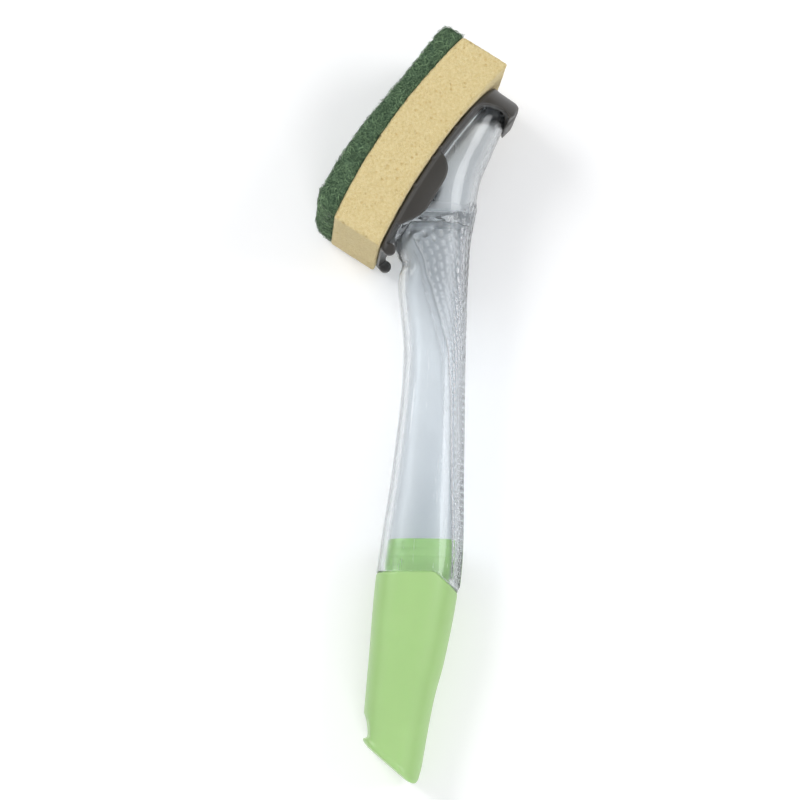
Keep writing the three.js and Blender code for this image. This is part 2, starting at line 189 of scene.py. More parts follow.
def mesh_piece(name, points, faces, material=None):
    mesh = bpy.data.meshes.new(name)
    mesh.from_pydata(placed(points).tolist(), [], [list(map(int, f)) for f in faces])
    mesh.validate()
    mesh.shade_smooth()
    if material:
        mesh.materials.append(material)
    piece = bpy.data.objects.new(name, mesh)
    bpy.context.scene.collection.objects.link(piece)
    return piece


def store(piece, name, values):
    layer = piece.data.attributes.new(name, "FLOAT", "POINT")
    layer.data.foreach_set("value", np.asarray(values, np.float32))


def settle(piece):
    """Live modifiers become plain mesh."""
    graph = bpy.context.evaluated_depsgraph_get()
    mesh = bpy.data.meshes.new_from_object(
        piece.evaluated_get(graph), preserve_all_data_layers=True, depsgraph=graph)
    piece.modifiers.clear()
    old, piece.data = piece.data, mesh
    bpy.data.meshes.remove(old)
    mesh.name = piece.name
    mesh.validate()
    return piece


def grow(piece, tree, **values):
    """Runs a geometry tree on a piece, with inputs set by their names, and settles it."""
    modifier = piece.modifiers.new(tree.name, "NODES")
    modifier.node_group = tree
    for item in tree.interface.items_tree:
        if item.item_type == "SOCKET" and item.in_out == "INPUT" and item.name in values:
            modifier[item.identifier] = values[item.name]
    return settle(piece)


def geometry_tree(name, sizes):
    """An empty geometry tree with named inputs, and its two ends."""
    tree = bpy.data.node_groups.new(name, "GeometryNodeTree")
    tree.interface.new_socket("Geometry", in_out="INPUT", socket_type="NodeSocketGeometry")
    for label, start in sizes.items():
        kind = "NodeSocketInt" if isinstance(start, int) else "NodeSocketFloat"
        tree.interface.new_socket(label, in_out="INPUT", socket_type=kind).default_value = start
    tree.interface.new_socket("Geometry", in_out="OUTPUT", socket_type="NodeSocketGeometry")
    return tree, add(tree, "NodeGroupInput").outputs, add(tree, "NodeGroupOutput")


def attribute(tree, name):
    return add(tree, "GeometryNodeInputNamedAttribute", {"Name": name}, data_type="FLOAT").outputs[0]


def lift_skin(tree, geometry, lift, material, result):
    """Ends a geometry tree: the skin moves out along its normals and gets its material."""
    normal = add(tree, "GeometryNodeInputNormal").outputs[0]
    offset = add(tree, "ShaderNodeVectorMath", {0: normal, 3: lift}, operation="SCALE").outputs[0]
    moved = add(tree, "GeometryNodeSetPosition", {"Geometry": geometry, "Offset": offset})
    dressed = add(tree, "GeometryNodeSetMaterial", {"Geometry": moved.outputs[0], "Material": material})
    tree.links.new(dressed.outputs[0], result.inputs[0])


def triangles(piece):
    return sum(len(p.vertices) - 2 for p in piece.data.polygons)


# %% [markdown]
# ## Light and floor
# The photograph is evenly lit on white. A large soft lamp stands on each side of the wand, a weaker one at
# the tail, and the world fills the rest. The lamps stay at a level where a written colour renders about as
# written. The floor adds a little of its own light for what the camera sees, directly or through the clear
# handle, so it reads white and still takes the shadow.


# %% Studio
def soft_lamp(name, spot, size, watts):
    lamp = bpy.data.lights.new(name, "AREA")
    lamp.shape, lamp.size, lamp.energy = "DISK", size, watts
    made = bpy.data.objects.new(name, lamp)
    bpy.context.scene.collection.objects.link(made)
    made.location = spot
    made.rotation_euler = (-Vector(spot)).to_track_quat("-Z", "Y").to_euler()


soft_lamp("key_lamp", (-0.75, 0.55, 0.85), 0.7, 8.4)
soft_lamp("side_lamp", (0.85, 0.15, 0.7), 0.6, 4.2)
soft_lamp("tail_lamp", (0.1, -0.95, 0.45), 0.6, 4.4)

world = bpy.data.worlds.new("studio")
world.use_nodes = True
tree = world.node_tree
sky = tree.nodes["Background"]
sky.inputs["Color"].default_value = (0.94, 0.96, 1.0, 1)
sky_way = add(tree, "ShaderNodeTexCoord").outputs["Generated"]
height = add(tree, "ShaderNodeSeparateXYZ", {0: sky_way}).outputs["Z"]
tree.links.new(smooth_range(tree, height, 0.0, 0.75, 0.11, 0.46), sky.inputs["Strength"])
bpy.context.scene.world = world

floor_paint, tree, _ = new_material("floor_paper")
tree.nodes.clear()
ray = add(tree, "ShaderNodeLightPath")
seen = maths(tree, "ADD", maths(tree, "ADD", ray.outputs["Is Camera Ray"], ray.outputs["Is Glossy Ray"]),
             ray.outputs["Is Transmission Ray"], clamp=True)
paper = add(tree, "ShaderNodeBsdfDiffuse", {"Color": (0.86, 0.86, 0.86, 1)})
glow = add(tree, "ShaderNodeEmission", {"Color": (1, 1, 1, 1), "Strength": maths(tree, "MULTIPLY", seen, 0.22)})
both = add(tree, "ShaderNodeAddShader", {0: paper.outputs[0], 1: glow.outputs[0]})
add(tree, "ShaderNodeOutputMaterial", {"Surface": both.outputs[0]})
FLOOR_HALF, FLOOR_DROP = 3.0, 0.0004
floor_mesh = bpy.data.meshes.new("floor")
floor_mesh.from_pydata(
    [(x * FLOOR_HALF, y * FLOOR_HALF, 0) for x, y in ((-1, -1), (1, -1), (1, 1), (-1, 1))], [], [(0, 1, 2, 3)])
floor_mesh.materials.append(floor_paint)
floor = bpy.data.objects.new("floor", floor_mesh)
floor.location.z = -FLOOR_DROP
bpy.context.scene.collection.objects.link(floor)
print("studio: 3 lamps, one floor")

# %% [markdown]
# ## Moulded plastic, shared by three pieces
# Cap, holder and valve all come out of a mould: the skin has a fine grain, the gloss wanders a little, and
# the colour shifts faintly where the plastic flowed. One shader group gives those three effects, and each
# material sets its own strength. The clear handle uses its gloss alone.


# %% Shared finish group
def colour(r, g, b):
    """Screen colour, 0 to 255, as the linear colour that a shader takes."""
    return tuple(((v / 255 + 0.055) / 1.055) ** 2.4 if v > 10 else v / 255 / 12.92 for v in (r, g, b)) + (1.0,)


moulded = bpy.data.node_groups.new("moulded_skin", "ShaderNodeTree")
for label, kind, start in (
    ("Colour", "NodeSocketColor", (0.5, 0.5, 0.5, 1)), ("Flow", "NodeSocketFloat", 0.05),
    ("Gloss", "NodeSocketFloat", 0.4), ("Gloss Spread", "NodeSocketFloat", 0.1),
    ("Grain Size", "NodeSocketFloat", 0.0004), ("Scuffs", "NodeSocketFloat", 0.1),
):
    moulded.interface.new_socket(label, in_out="INPUT", socket_type=kind).default_value = start
for label, kind in (
    ("Colour", "NodeSocketColor"), ("Roughness", "NodeSocketFloat"), ("Grain", "NodeSocketFloat"),
):
    moulded.interface.new_socket(label, in_out="OUTPUT", socket_type=kind)
ends = add(moulded, "NodeGroupInput").outputs
spot = add(moulded, "ShaderNodeTexCoord").outputs["Object"]
flow = add(moulded, "ShaderNodeTexNoise", {"Vector": spot, "Scale": 55.0, "Detail": 3.0, "Distortion": 0.6})
drift = maths(moulded, "MULTIPLY", maths(moulded, "SUBTRACT", flow.outputs["Fac"], 0.5), ends["Flow"])
bright = maths(moulded, "ADD", maths(moulded, "MULTIPLY", drift, 2.0), 1.0)
grain = add(moulded, "ShaderNodeTexNoise", {
    "Vector": spot, "Scale": maths(moulded, "DIVIDE", 1.0, ends["Grain Size"]), "Detail": 2.0})
scratch_place = add(moulded, "ShaderNodeMapping", {
    "Vector": spot, "Scale": (1.0, 0.09, 1.0), "Rotation": (0, 0, 0.5)})
scratch = add(moulded, "ShaderNodeTexNoise", {
    "Vector": scratch_place.outputs[0], "Scale": 900.0, "Detail": 3.0, "Roughness": 0.6})
scuff = maths(moulded, "MULTIPLY", smooth_range(moulded, scratch.outputs["Fac"], 0.62, 0.74), ends["Scuffs"])
painted = add(moulded, "ShaderNodeVectorMath", {0: ends["Colour"], 3: bright}, operation="SCALE")
spread = maths(moulded, "MULTIPLY", maths(moulded, "SUBTRACT", flow.outputs["Fac"], 0.5), ends["Gloss Spread"])
rough = maths(moulded, "ADD", maths(moulded, "ADD", ends["Gloss"], spread), scuff, clamp=True)
add(moulded, "NodeGroupOutput", {
    "Colour": painted.outputs[0], "Roughness": rough, "Grain": grain.outputs["Fac"]})


def moulded_plastic(name, paint, flow, gloss, spread, grain_size, scuffs, grain_depth):
    """A plastic with the shared mould finish and a fine grain in relief."""
    made, tree, shader = new_material(name)
    skin = add(tree, "ShaderNodeGroup", node_tree=moulded)
    for label, value in (("Colour", paint), ("Flow", flow), ("Gloss", gloss), ("Gloss Spread", spread),
                         ("Grain Size", grain_size), ("Scuffs", scuffs)):
        skin.inputs[label].default_value = value
    relief = add(tree, "ShaderNodeBump", {
        "Height": skin.outputs["Grain"], "Distance": grain_depth, "Strength": 0.6})
    tree.links.new(skin.outputs["Colour"], shader.inputs["Base Color"])
    tree.links.new(skin.outputs["Roughness"], shader.inputs["Roughness"])
    tree.links.new(relief.outputs["Normal"], shader.inputs["Normal"])
    return made, shader


green_satin, shader = moulded_plastic(
    "satin_green", colour(168, 206, 134), flow=0.05, gloss=0.38, spread=0.12,
    grain_size=0.0005, scuffs=0.12, grain_depth=2e-5)
shader.inputs["Subsurface Weight"].default_value = 0.12
shader.inputs["Subsurface Radius"].default_value = (0.4, 1.0, 0.3)
shader.inputs["Subsurface Scale"].default_value = 0.002
dark_satin, _ = moulded_plastic(
    "satin_dark_grey", colour(66, 64, 61), flow=0.08, gloss=0.4, spread=0.16,
    grain_size=0.0004, scuffs=0.15, grain_depth=3e-5)
silicone, _ = moulded_plastic(
    "milky_silicone", colour(216, 216, 208), flow=0.04, gloss=0.6, spread=0.1,
    grain_size=0.0006, scuffs=0.05, grain_depth=1e-5)
print("moulded skin in", [m.name for m in (green_satin, dark_satin, silicone)])

# %% [markdown]
# ## Clear plastic
# The handle is clear moulded plastic: real walls of real thickness bend the light, so it needs no painted
# reflections. Its outside is polished and its inside, formed by the mould's core, is a little hazy, most of
# all at the ceiling, so what lies behind is softened. Its refraction is set a little under the book value,
# which keeps the neck calm. Its colour is a faint grey; over that, shade is painted darker across the grip
# field and darker still along the foot of the field's step, and a white highlight is painted on the thin tops
# of the dashes and the field's edge lip, so the mould's relief reads even on white. Lamp light mostly
# passes straight through for shadows, since a clear wall hardly shades what lies under it.

# %% Clear material
WALL_HAZE = 0.22
clear, tree, shader = new_material("clear_moulded")
shader.inputs["Transmission Weight"].default_value = 1.0
shader.inputs["IOR"].default_value = 1.4
skin = add(tree, "ShaderNodeGroup", node_tree=moulded)
for label, value in (("Colour", (0.85, 0.876, 0.895, 1)), ("Flow", 0.04), ("Gloss", 0.035),
                     ("Gloss Spread", 0.03), ("Scuffs", 0.07), ("Grain Size", 0.002)):
    skin.inputs[label].default_value = value
tinted = skin.outputs["Colour"]
# Painted light: painted shade over the raised grip field, darker painted shade at the foot of its step, and a
# white painted highlight on the dash tops and the edge lip.
for label, tint in (("field_painted_shade", (0.62, 0.65, 0.68, 1)), ("foot_painted_shade", (0.4, 0.43, 0.46, 1)),
                    ("top_painted_highlight", (1, 1, 1, 1))):
    mask = add(tree, "ShaderNodeAttribute", attribute_name=label).outputs["Fac"]
    tinted = mix_colours(tree, mask, tinted, tint)
tree.links.new(tinted, shader.inputs["Base Color"])
hazy = add(tree, "ShaderNodeAttribute", attribute_name="inner_wall").outputs["Fac"]
tree.links.new(maths(tree, "ADD", skin.outputs["Roughness"], maths(tree, "MULTIPLY", hazy, WALL_HAZE)),
               shader.inputs["Roughness"])
open_wall = add(tree, "ShaderNodeBsdfTransparent", {"Color": (0.66, 0.69, 0.71, 1)})
shading = add(tree, "ShaderNodeLightPath").outputs["Is Shadow Ray"]
mix = add(tree, "ShaderNodeMixShader", {0: shading, 1: shader.outputs[0], 2: open_wall.outputs[0]})
tree.links.new(mix.outputs[0], tree.nodes["Material Output"].inputs["Surface"])
print("clear plastic made")

# %% [markdown]
# ## The skin of handle and cap
# Handle and cap share one flowing skin. Two edges, front and spine, run from the cap's foot to the nose, and
# at each station a rounded section spans them. A subdivision cage could be pulled to that shape, but a rule
# keeps it true to the frame: the same stations, the same spline and the same section. A small blur along each
# section rounds the corners that the platform and the nose cut into it.

# %% Edges and sections
GRIP_LENGTH, CAP_LENGTH, TAIL_WIDTH, KINK_WIDTH, FOOT_WIDTH, NOSE_DEPTH = 80.7, 78.0, 30.6, 27.6, 21.2, 11.0
LEAN = math.tan(TAIL_LEAN)
THROAT_Y = HEAD_Y - 36.6
FRONT_POWER, SPINE_POWER = 3.2, 2.4
NOSE_START = PLATFORM_TOE - NOSE_LENGTH


def tail_front(y):
    return -TAIL_WIDTH / 2 + y * LEAN


def edge_pair(x, y, width, depth):
    return (x - width / 2, y, depth / 2), (x + width / 2, y, depth / 2)


def cap_pair(down, width, depth):
    return edge_pair(tail_front(-down) + width / 2, -down, width, depth)


def head_pair(front, spine, depth):
    return tuple(map(tuple, (from_head(*front, depth / 2), from_head(*spine, depth / 2))))


STATIONS = [
    cap_pair(CAP_LENGTH + 8, FOOT_WIDTH, 23), cap_pair(46, KINK_WIDTH * 0.6 + FOOT_WIDTH * 0.4, 25.5),
    cap_pair(32, KINK_WIDTH, 26.75),
    edge_pair(0, 0, TAIL_WIDTH, 28), edge_pair(GRIP_LENGTH / 2 * LEAN, GRIP_LENGTH / 2, 25.7, 26.3),
    edge_pair(5.85, GRIP_LENGTH, 22.5, 24.6), edge_pair(5.35, THROAT_Y - 6, 25.5, 25.2),
    edge_pair(6.2, THROAT_Y, 24.6, 25.8), head_pair((-34, -4.8), (-16.7, -26), 27.5),
    head_pair((-22, 6), (-6, -21.2), 31), head_pair((-4, 12), (4.7, -16.4), 31),
    head_pair((14, 11), (16.85, -13.7), 30), head_pair((28, 9), (29, -NOSE_DEPTH), 26),
    head_pair((38, 8), (38, -NOSE_DEPTH + 3.5), 23),
]
FRONT_EDGE, SPINE_EDGE = (np.array([pair[k] for pair in STATIONS]) for k in (0, 1))


def along_edge(points, u):
    """Centripetal Catmull-Rom through the points; u counts stations."""
    u = np.atleast_1d(np.asarray(u, float))
    i = np.clip(u.astype(int), 0, len(points) - 2)
    w = (u - i)[:, None]
    ends = np.vstack([2 * points[0] - points[1], points, 2 * points[-1] - points[-2]])
    p0, p1, p2, p3 = (ends[i + k] for k in range(4))
    d0, d1, d2 = (np.sum((b - a) ** 2, 1, keepdims=True) ** 0.25 for a, b in ((p0, p1), (p1, p2), (p2, p3)))
    t1 = ((p1 - p0) / d0 - (p2 - p0) / (d0 + d1) + (p2 - p1) / d1) * d1
    t2 = ((p2 - p1) / d1 - (p3 - p1) / (d1 + d2) + (p3 - p2) / d2) * d1
    return p1 + t1 * w + (3 * (p2 - p1) - 2 * t1 - t2) * w**2 + (2 * (p1 - p2) + t1 + t2) * w**3


def nose_half(t, margin=0.0):
    """Half depth of the nose's plan outline at t."""
    reach = np.clip((t - NOSE_START) / (NOSE_LENGTH + margin), 0, 1)
    return (HEAD_DEPTH / 2 + margin) * np.sqrt(1 - reach**2)


HALF_POINTS, FLAT_POINTS = 400, 90
ANGLES = np.linspace(0, math.pi, 361)


def half_section(u, inset=0.0, lift=0.0, nose=0.0, soft=0.55):
    """Evenly spaced points on the section at station u, from spine to front, and how far across each lies."""
    front, spine = along_edge(FRONT_EDGE, u)[0], along_edge(SPINE_EDGE, u)[0]
    middle, across = (front[:2] + spine[:2]) / 2, spine[:2] - front[:2]
    wide = np.hypot(*across)
    across = across / wide
    half, deep = wide / 2 - inset, front[2] - inset
    c, s = np.cos(ANGLES), np.sin(ANGLES).clip(0)
    power = 2 / np.where(c > 0, SPINE_POWER, FRONT_POWER)
    a, z = half * np.sign(c) * np.abs(c) ** power, deep * s**power
    if lift is not None:
        grid = np.linspace(-half, half, 1500)
        t, n = to_head(middle[0] + across[0] * grid, middle[1] + across[1] * grid)
        over = (n - crown(np.clip(t, -200, 200)) - lift > 0) & (np.abs(t) < 60)
        if over[0]:
            cut = grid[np.argmin(over)]
            edge = np.interp(cut, a[::-1], z[::-1])
            keep = a > cut
            a = np.concatenate([a[keep], np.full(FLAT_POINTS, cut)])
            z = np.concatenate([z[keep], edge * np.linspace(1, 0, FLAT_POINTS)])
    t, _ = to_head(middle[0] + across[0] * a, middle[1] + across[1] * a)
    z = np.minimum(z, np.where(t > NOSE_START, nose_half(t, nose), 1e3))
    run = np.concatenate([[0], np.cumsum(np.hypot(np.diff(a), np.diff(z)))])
    even = np.linspace(0, run[-1], HALF_POINTS + 1)
    a, z = np.interp(even, run, a), np.interp(even, run, z)
    loop = np.concatenate([a + 1j * z, (a - 1j * z)[-2:0:-1]])
    step = run[-1] / HALF_POINTS
    waves = np.fft.fftfreq(len(loop)) * 2 * math.pi
    loop = np.fft.ifft(np.fft.fft(loop) * np.exp(-0.5 * (waves * soft / step) ** 2))[: HALF_POINTS + 1]
    points = np.stack([middle[0] + across[0] * loop.real, middle[1] + across[1] * loop.real, loop.imag], -1)
    points[[0, -1], 2] = 0
    return points, loop.real / half


stations = np.linspace(0, len(STATIONS) - 1, 1301)
MIDDLE = (along_edge(FRONT_EDGE, stations) + along_edge(SPINE_EDGE, stations))[:, :2] / 2


def station_at(y):
    return np.interp(y, MIDDLE[:, 1], stations)


def nose_stations(length, count=22, end_angle=1.38):
    """Stations from near the end of a rounded nose down to its start, closer together towards the end."""
    reach = NOSE_START + length * np.sin(np.linspace(end_angle, 0, count))
    return np.interp(reach, to_head(*MIDDLE.T)[0], stations)


print("skin runs from y", round(MIDDLE[0, 1], 1), "to", round(MIDDLE[-1, 1], 1), "mm")

# %% [markdown]
# ## Grip rows
# The back of the real handle has a raised field of small dashes for wet fingers, wide beside the throat and
# narrow at the tail, with a crisp edge that runs down each flank. Dashes could be loose beads stuck on, but
# beads inside clear plastic would each bend the light twice. So the skin's columns follow the field's edge,
# and a geometry tree lifts the dashes out of the skin itself.

# %% Columns that follow the grip field
GRIP_ROWS = 10.5
FIELD_Y = np.array([-12, 0, 64, 81.8, 89.5, 99.9, 104.7, 114.3, 123.2, 136, 160])
FIELD_EDGE = np.array([0.75, 0.75, 0.52, 0.38, 0.22, 0.0, -0.09, -0.38, -0.56, -0.62, -0.62])
row_marks = np.array([0.0, 0.16, 0.32, 0.5, 0.68, 0.84])
field_columns = np.concatenate([row_marks + k for k in range(10)] + [[10.0, 10.16, 10.28, 10.4]]) / GRIP_ROWS
FRONT_COLUMNS, CORNER_PULL = 24, 3.0


def columns_of(points, fraction, field_edge):
    """Points on one half section at the grip columns, then round to the front, closer together at corners."""
    steps = np.diff(points, axis=0)
    run = np.concatenate([[0], np.cumsum(np.linalg.norm(steps, axis=1))])
    edge = run[np.argmax(fraction <= max(field_edge, fraction[-1] + 0.02))]
    way = steps / np.linalg.norm(steps, axis=1, keepdims=True).clip(1e-9)
    turn = np.concatenate([[0], np.arccos(np.sum(way[1:] * way[:-1], 1).clip(-1, 1)), [0]])
    busy = run + CORNER_PULL * np.cumsum(turn)
    start = np.interp(edge, run, busy)
    marks = np.interp(np.linspace(start, busy[-1], FRONT_COLUMNS + 1), busy, run)
    marks = np.concatenate([field_columns * edge, marks])
    return np.stack([np.interp(marks, run, points[:, k]) for k in range(3)], -1)


def rings(us, **section):
    """Half rings at the given stations: an array of rings, columns and xyz."""
    made = []
    for u in us:
        points, fraction = half_section(u, **section)
        mid_y = float(np.interp(u, stations, MIDDLE[:, 1]))
        made.append(columns_of(points, fraction, np.interp(mid_y, FIELD_Y, FIELD_EDGE)))
    return np.array(made)


TONGUE_WIDTH, TONGUE_DROP = 10.0, 8.4


def mouth_y(x, lift):
    """The cap's mouth, which dips at the spine round the handle's tongue."""
    return lift - TONGUE_DROP * np.clip((x - (TAIL_WIDTH / 2 - TONGUE_WIDTH)) / TONGUE_WIDTH, 0, 1)


def trimmed(table, below, count):
    """Rows down each column of a ring table, from its first ring to where below() first turns positive."""
    value = below(table)
    first = np.argmax(value > 0, axis=0)
    j = np.arange(table.shape[1])
    v0, v1 = value[first - 1, j], value[first, j]
    end = first - 1 + v0 / (v0 - v1)
    at = np.linspace(0, 1, count)[:, None] * end[None]
    low = np.floor(at).astype(int).clip(0, len(table) - 2)
    share = (at - low)[..., None]
    return table[low, j] * (1 - share) + table[low + 1, j] * share


def drawn_in(ring, share=0.6):
    """A ring drawn in towards its middle, to close an end."""
    return ring + (ring.mean(0) * [1, 1, 0] - ring) * share


def rounded(before, corner, after, radius, count=5):
    """Rows that round a corner between two rows, column by column."""
    def back(p):
        way = p - corner
        far = np.linalg.norm(way, axis=-1, keepdims=True).clip(1e-6)
        return corner + way / far * np.minimum(radius, 0.45 * far)
    p, q = back(before), back(after)
    w = np.linspace(0, 1, count)[:, None, None]
    return p * (1 - w) ** 2 + corner * 2 * w * (1 - w) + q * w**2


print(len(field_columns), "grip columns and", FRONT_COLUMNS, "front columns on each side")

# %% [markdown]
# ## The handle
# One closed skin makes the wall: down the outside from nose to mouth, round the rim, and up the inside to the
# reservoir's ceiling. The rim is rounded in the rows themselves, so no bevel has to find its edges. The open
# pocket under the platform and the outlet are cut afterwards, where nobody sees a razor edge.

# %% Handle wall
CAP_GAP, HANDLE_WALL, PLATFORM_WALL = 0.3, 2.0, 2.5
CEILING_Y, CEILING_WALL = HEAD_Y - 19.0, 3.0
CEILING_ROWS, CEILING_HAZE = 9, 2.2
DASH_PITCH, ROWS_PER_DASH = 3.0, 7
GRIP_TOP, GRIP_FOOT, TAIL_END = 140.0, 9.0, -12.0

nose_u = nose_stations(NOSE_LENGTH)
neck_u = np.linspace(nose_u[-1], station_at(GRIP_TOP), 46)[1:]
grip_u = station_at(np.arange(GRIP_TOP, GRIP_FOOT, -DASH_PITCH / ROWS_PER_DASH))[1:]
body_rows = rings(np.concatenate([nose_u, neck_u, grip_u]))
tail_table = rings(station_at(np.arange(GRIP_FOOT, TAIL_END, -0.35)))
tail_rows = trimmed(tail_table, lambda p: mouth_y(p[..., 0], CAP_GAP / 2) - p[..., 1], 50)

reservoir_u = station_at(np.arange(TAIL_END, 122.0, 1.5))
reservoir_u = np.concatenate([reservoir_u, np.linspace(reservoir_u[-1], 10.2, 50)[1:]])
inner = rings(reservoir_u, inset=HANDLE_WALL, lift=-PLATFORM_WALL, soft=0.8)
inner_rim = trimmed(inner[::-1], lambda p: mouth_y(p[..., 0], CAP_GAP / 2) - p[..., 1], 4)[-1]
start_ring = inner[np.argmin(np.abs(reservoir_u - station_at(3.0))):]
inner_rows = trimmed(start_ring, lambda p: p[..., 1] - (CEILING_Y - CEILING_WALL), 64)
ceiling = inner_rows[-1]

rim = tail_rows[-1]
wall_rows = np.concatenate([
    body_rows, tail_rows[:-2],
    rounded(tail_rows[-4], rim, inner_rim, 0.4), rounded(rim, inner_rim, inner_rows[0], 0.4),
    inner_rows[:-3], rounded(inner_rows[-4], ceiling, drawn_in(ceiling), 2.6, CEILING_ROWS),
])


def closed_skin(rows):
    """Half rows and their mirror image as one closed skin, with a strip over each end."""
    count, half = rows.shape[:2]
    mirror = rows[:, -2:0:-1] * [1, 1, -1]
    ring = half + mirror.shape[1]
    points = np.concatenate([rows, mirror], 1).reshape(-1, 3)
    i, k = np.meshgrid(np.arange(count - 1), np.arange(ring), indexing="ij")
    a, b = i * ring + k, i * ring + (k + 1) % ring
    faces = np.stack([a, b, b + ring, a + ring], -1).reshape(-1, 4).tolist()
    for first, turned in ((0, False), ((count - 1) * ring, True)):
        for j in range(half - 1):
            strip = [first + j, first + (ring - j) % ring, first + ring - j - 1, first + j + 1]
            strip = list(dict.fromkeys(strip))
            faces.append(strip[::-1] if turned else strip)
    return points, faces


points, faces = closed_skin(wall_rows)
handle = mesh_piece("clear_handle", points, faces, clear)
outer_rows, half_columns = len(body_rows) + len(tail_rows) - 2, wall_rows.shape[1]
print("handle wall:", len(points), "points,", triangles(handle), "triangles")

# %% Grip measures on the wall
row_of = np.concatenate([field_columns * GRIP_ROWS, np.full(FRONT_COLUMNS + 1, GRIP_ROWS + 1)])
row_number = np.broadcast_to(row_of, (len(wall_rows), half_columns)).copy()
row_number[:, len(field_columns)] = GRIP_ROWS
beat_y = np.linspace(TAIL_END, GRIP_TOP + 5, 400)
pitch = np.interp(beat_y, [60, 85, 112, 125], [2.6, 2.4, 3.3, 3.4])
beat = np.cumsum(DASH_PITCH / pitch) * (beat_y[1] - beat_y[0])
top_a, top_b = np.array([-2.96, 123.2]), np.array([21.46, 138.0])
top_way = (top_b - top_a) / np.linalg.norm(top_b - top_a)
under_top = (wall_rows[..., 0] - top_a[0]) * top_way[1] - (wall_rows[..., 1] - top_a[1]) * top_way[0]
over_rim = wall_rows[..., 1] - mouth_y(wall_rows[..., 0], CAP_GAP / 2)
FADE, RIM_BAND = 1.5, 1.0
field = np.clip(under_top / FADE, 0, 1) * np.clip((over_rim - RIM_BAND) / FADE, 0, 1)
field *= row_number <= GRIP_ROWS
field[outer_rows:] = 0


def both_sides(values):
    return np.concatenate([values, values[:, -2:0:-1]], 1).ravel()


store(handle, "grip_row", both_sides(row_number))
store(handle, "grip_along", both_sides(np.interp(wall_rows[..., 1], beat_y, beat) / 1000))
store(handle, "grip_field", both_sides(field))
haze = np.where(np.arange(len(wall_rows)) > outer_rows + 4, 1.0, 0.0)
haze[-CEILING_ROWS:] = CEILING_HAZE
store(handle, "inner_wall", both_sides(np.broadcast_to(haze[:, None], field.shape)))
print("grip field covers", int((field > 0.5).sum() * 2), "points")

# %% [markdown]
# ## Dashes lifted from the skin
# The tree reads three measures off each point: which row it is in, how far along the handle it is, and whether
# it is in the field. Two smooth ramps make one dash, every second row is set off by half a pitch, and the
# field itself stands a little proud.

# %% Grip tree
grip_tree, sizes, result = geometry_tree("grip_dashes", {
    "Pitch": 0.003, "Dash Share": 0.8, "Dash Width": 0.26, "Dash Height": 0.0003, "Field Height": 0.0003,
    "Lip Height": 0.00025, "Row Count": GRIP_ROWS})
row, place, inside = (attribute(grip_tree, n) for n in ("grip_row", "grip_along", "grip_field"))
nearest = maths(grip_tree, "ROUND", row)
aside = maths(grip_tree, "ABSOLUTE", maths(grip_tree, "SUBTRACT", row, nearest))
crest = maths(grip_tree, "MULTIPLY", sizes["Dash Width"], 0.3)
ridge = smooth_range(grip_tree, aside, sizes["Dash Width"], crest)
beat = maths(grip_tree, "ADD", maths(grip_tree, "DIVIDE", place, sizes["Pitch"]),
             maths(grip_tree, "MULTIPLY", maths(grip_tree, "MODULO", nearest, 2.0), 0.5))
offbeat = maths(grip_tree, "ABSOLUTE", maths(grip_tree, "SUBTRACT", maths(grip_tree, "FRACT", beat), 0.5))
half_dash = maths(grip_tree, "MULTIPLY", sizes["Dash Share"], 0.5)
dash = smooth_range(grip_tree, offbeat, half_dash, maths(grip_tree, "MULTIPLY", half_dash, 0.7))
bead = maths(grip_tree, "MULTIPLY", maths(grip_tree, "MULTIPLY", ridge, dash), inside)
from_edge = maths(grip_tree, "SUBTRACT", sizes["Row Count"], row)
step = maths(grip_tree, "MULTIPLY", inside, smooth_range(grip_tree, from_edge, 0.0, 0.22))
lip = maths(grip_tree, "MULTIPLY", step, smooth_range(grip_tree, from_edge, 0.5, 0.22))
lift = maths(grip_tree, "ADD", maths(grip_tree, "MULTIPLY", bead, sizes["Dash Height"]),
             maths(grip_tree, "MULTIPLY", step, sizes["Field Height"]))
lift = maths(grip_tree, "ADD", lift, maths(grip_tree, "MULTIPLY", lip, sizes["Lip Height"]))
tops = maths(grip_tree, "MAXIMUM", bead, lip)
below_step = maths(grip_tree, "MULTIPLY", inside, maths(grip_tree, "SUBTRACT", 1.0, step))
foot = maths(grip_tree, "MULTIPLY", maths(grip_tree, "LESS_THAN", from_edge, 0.3), below_step)
# Masks for the clear material's painted light: painted shade over the raised field, darker painted shade along
# the foot of its step, and a painted highlight on the dash tops and the edge lip.
kept = sizes["Geometry"]
for label, value in (("field_painted_shade", step), ("foot_painted_shade", foot), ("top_painted_highlight", tops)):
    kept = add(grip_tree, "GeometryNodeStoreNamedAttribute", {
        "Geometry": kept, "Name": label, "Value": value}, data_type="FLOAT", domain="POINT").outputs[0]
lift_skin(grip_tree, kept, lift, clear, result)
grow(handle, grip_tree, Pitch=DASH_PITCH / 1000)
print("grip dashes raised:", triangles(handle), "triangles")

# %% [markdown]
# ## Pocket and outlet
# Above the reservoir's ceiling the neck is an open trough, as a mould leaves it, with a round post that
# carries the outlet to the valve. These are plain solids, so Boolean modifiers do the cutting.


# %% Cut the pocket and the outlet
def cut(piece, tool, operation, haze=1.0):
    store(tool, "inner_wall", np.broadcast_to(haze, len(tool.data.vertices)))
    modifier = piece.modifiers.new(operation, "BOOLEAN")
    modifier.operation, modifier.solver, modifier.object = operation, "MANIFOLD", tool
    settle(piece)
    bpy.data.objects.remove(tool)


OUTLET_AT, OUTLET_BORE, OUTLET_BOSS = -18.0, 4.0, 9.0
outlet_tilt = math.asin(OUTLET_AT / PLATFORM_RADIUS)
out_t, out_n = math.sin(outlet_tilt), math.cos(outlet_tilt)


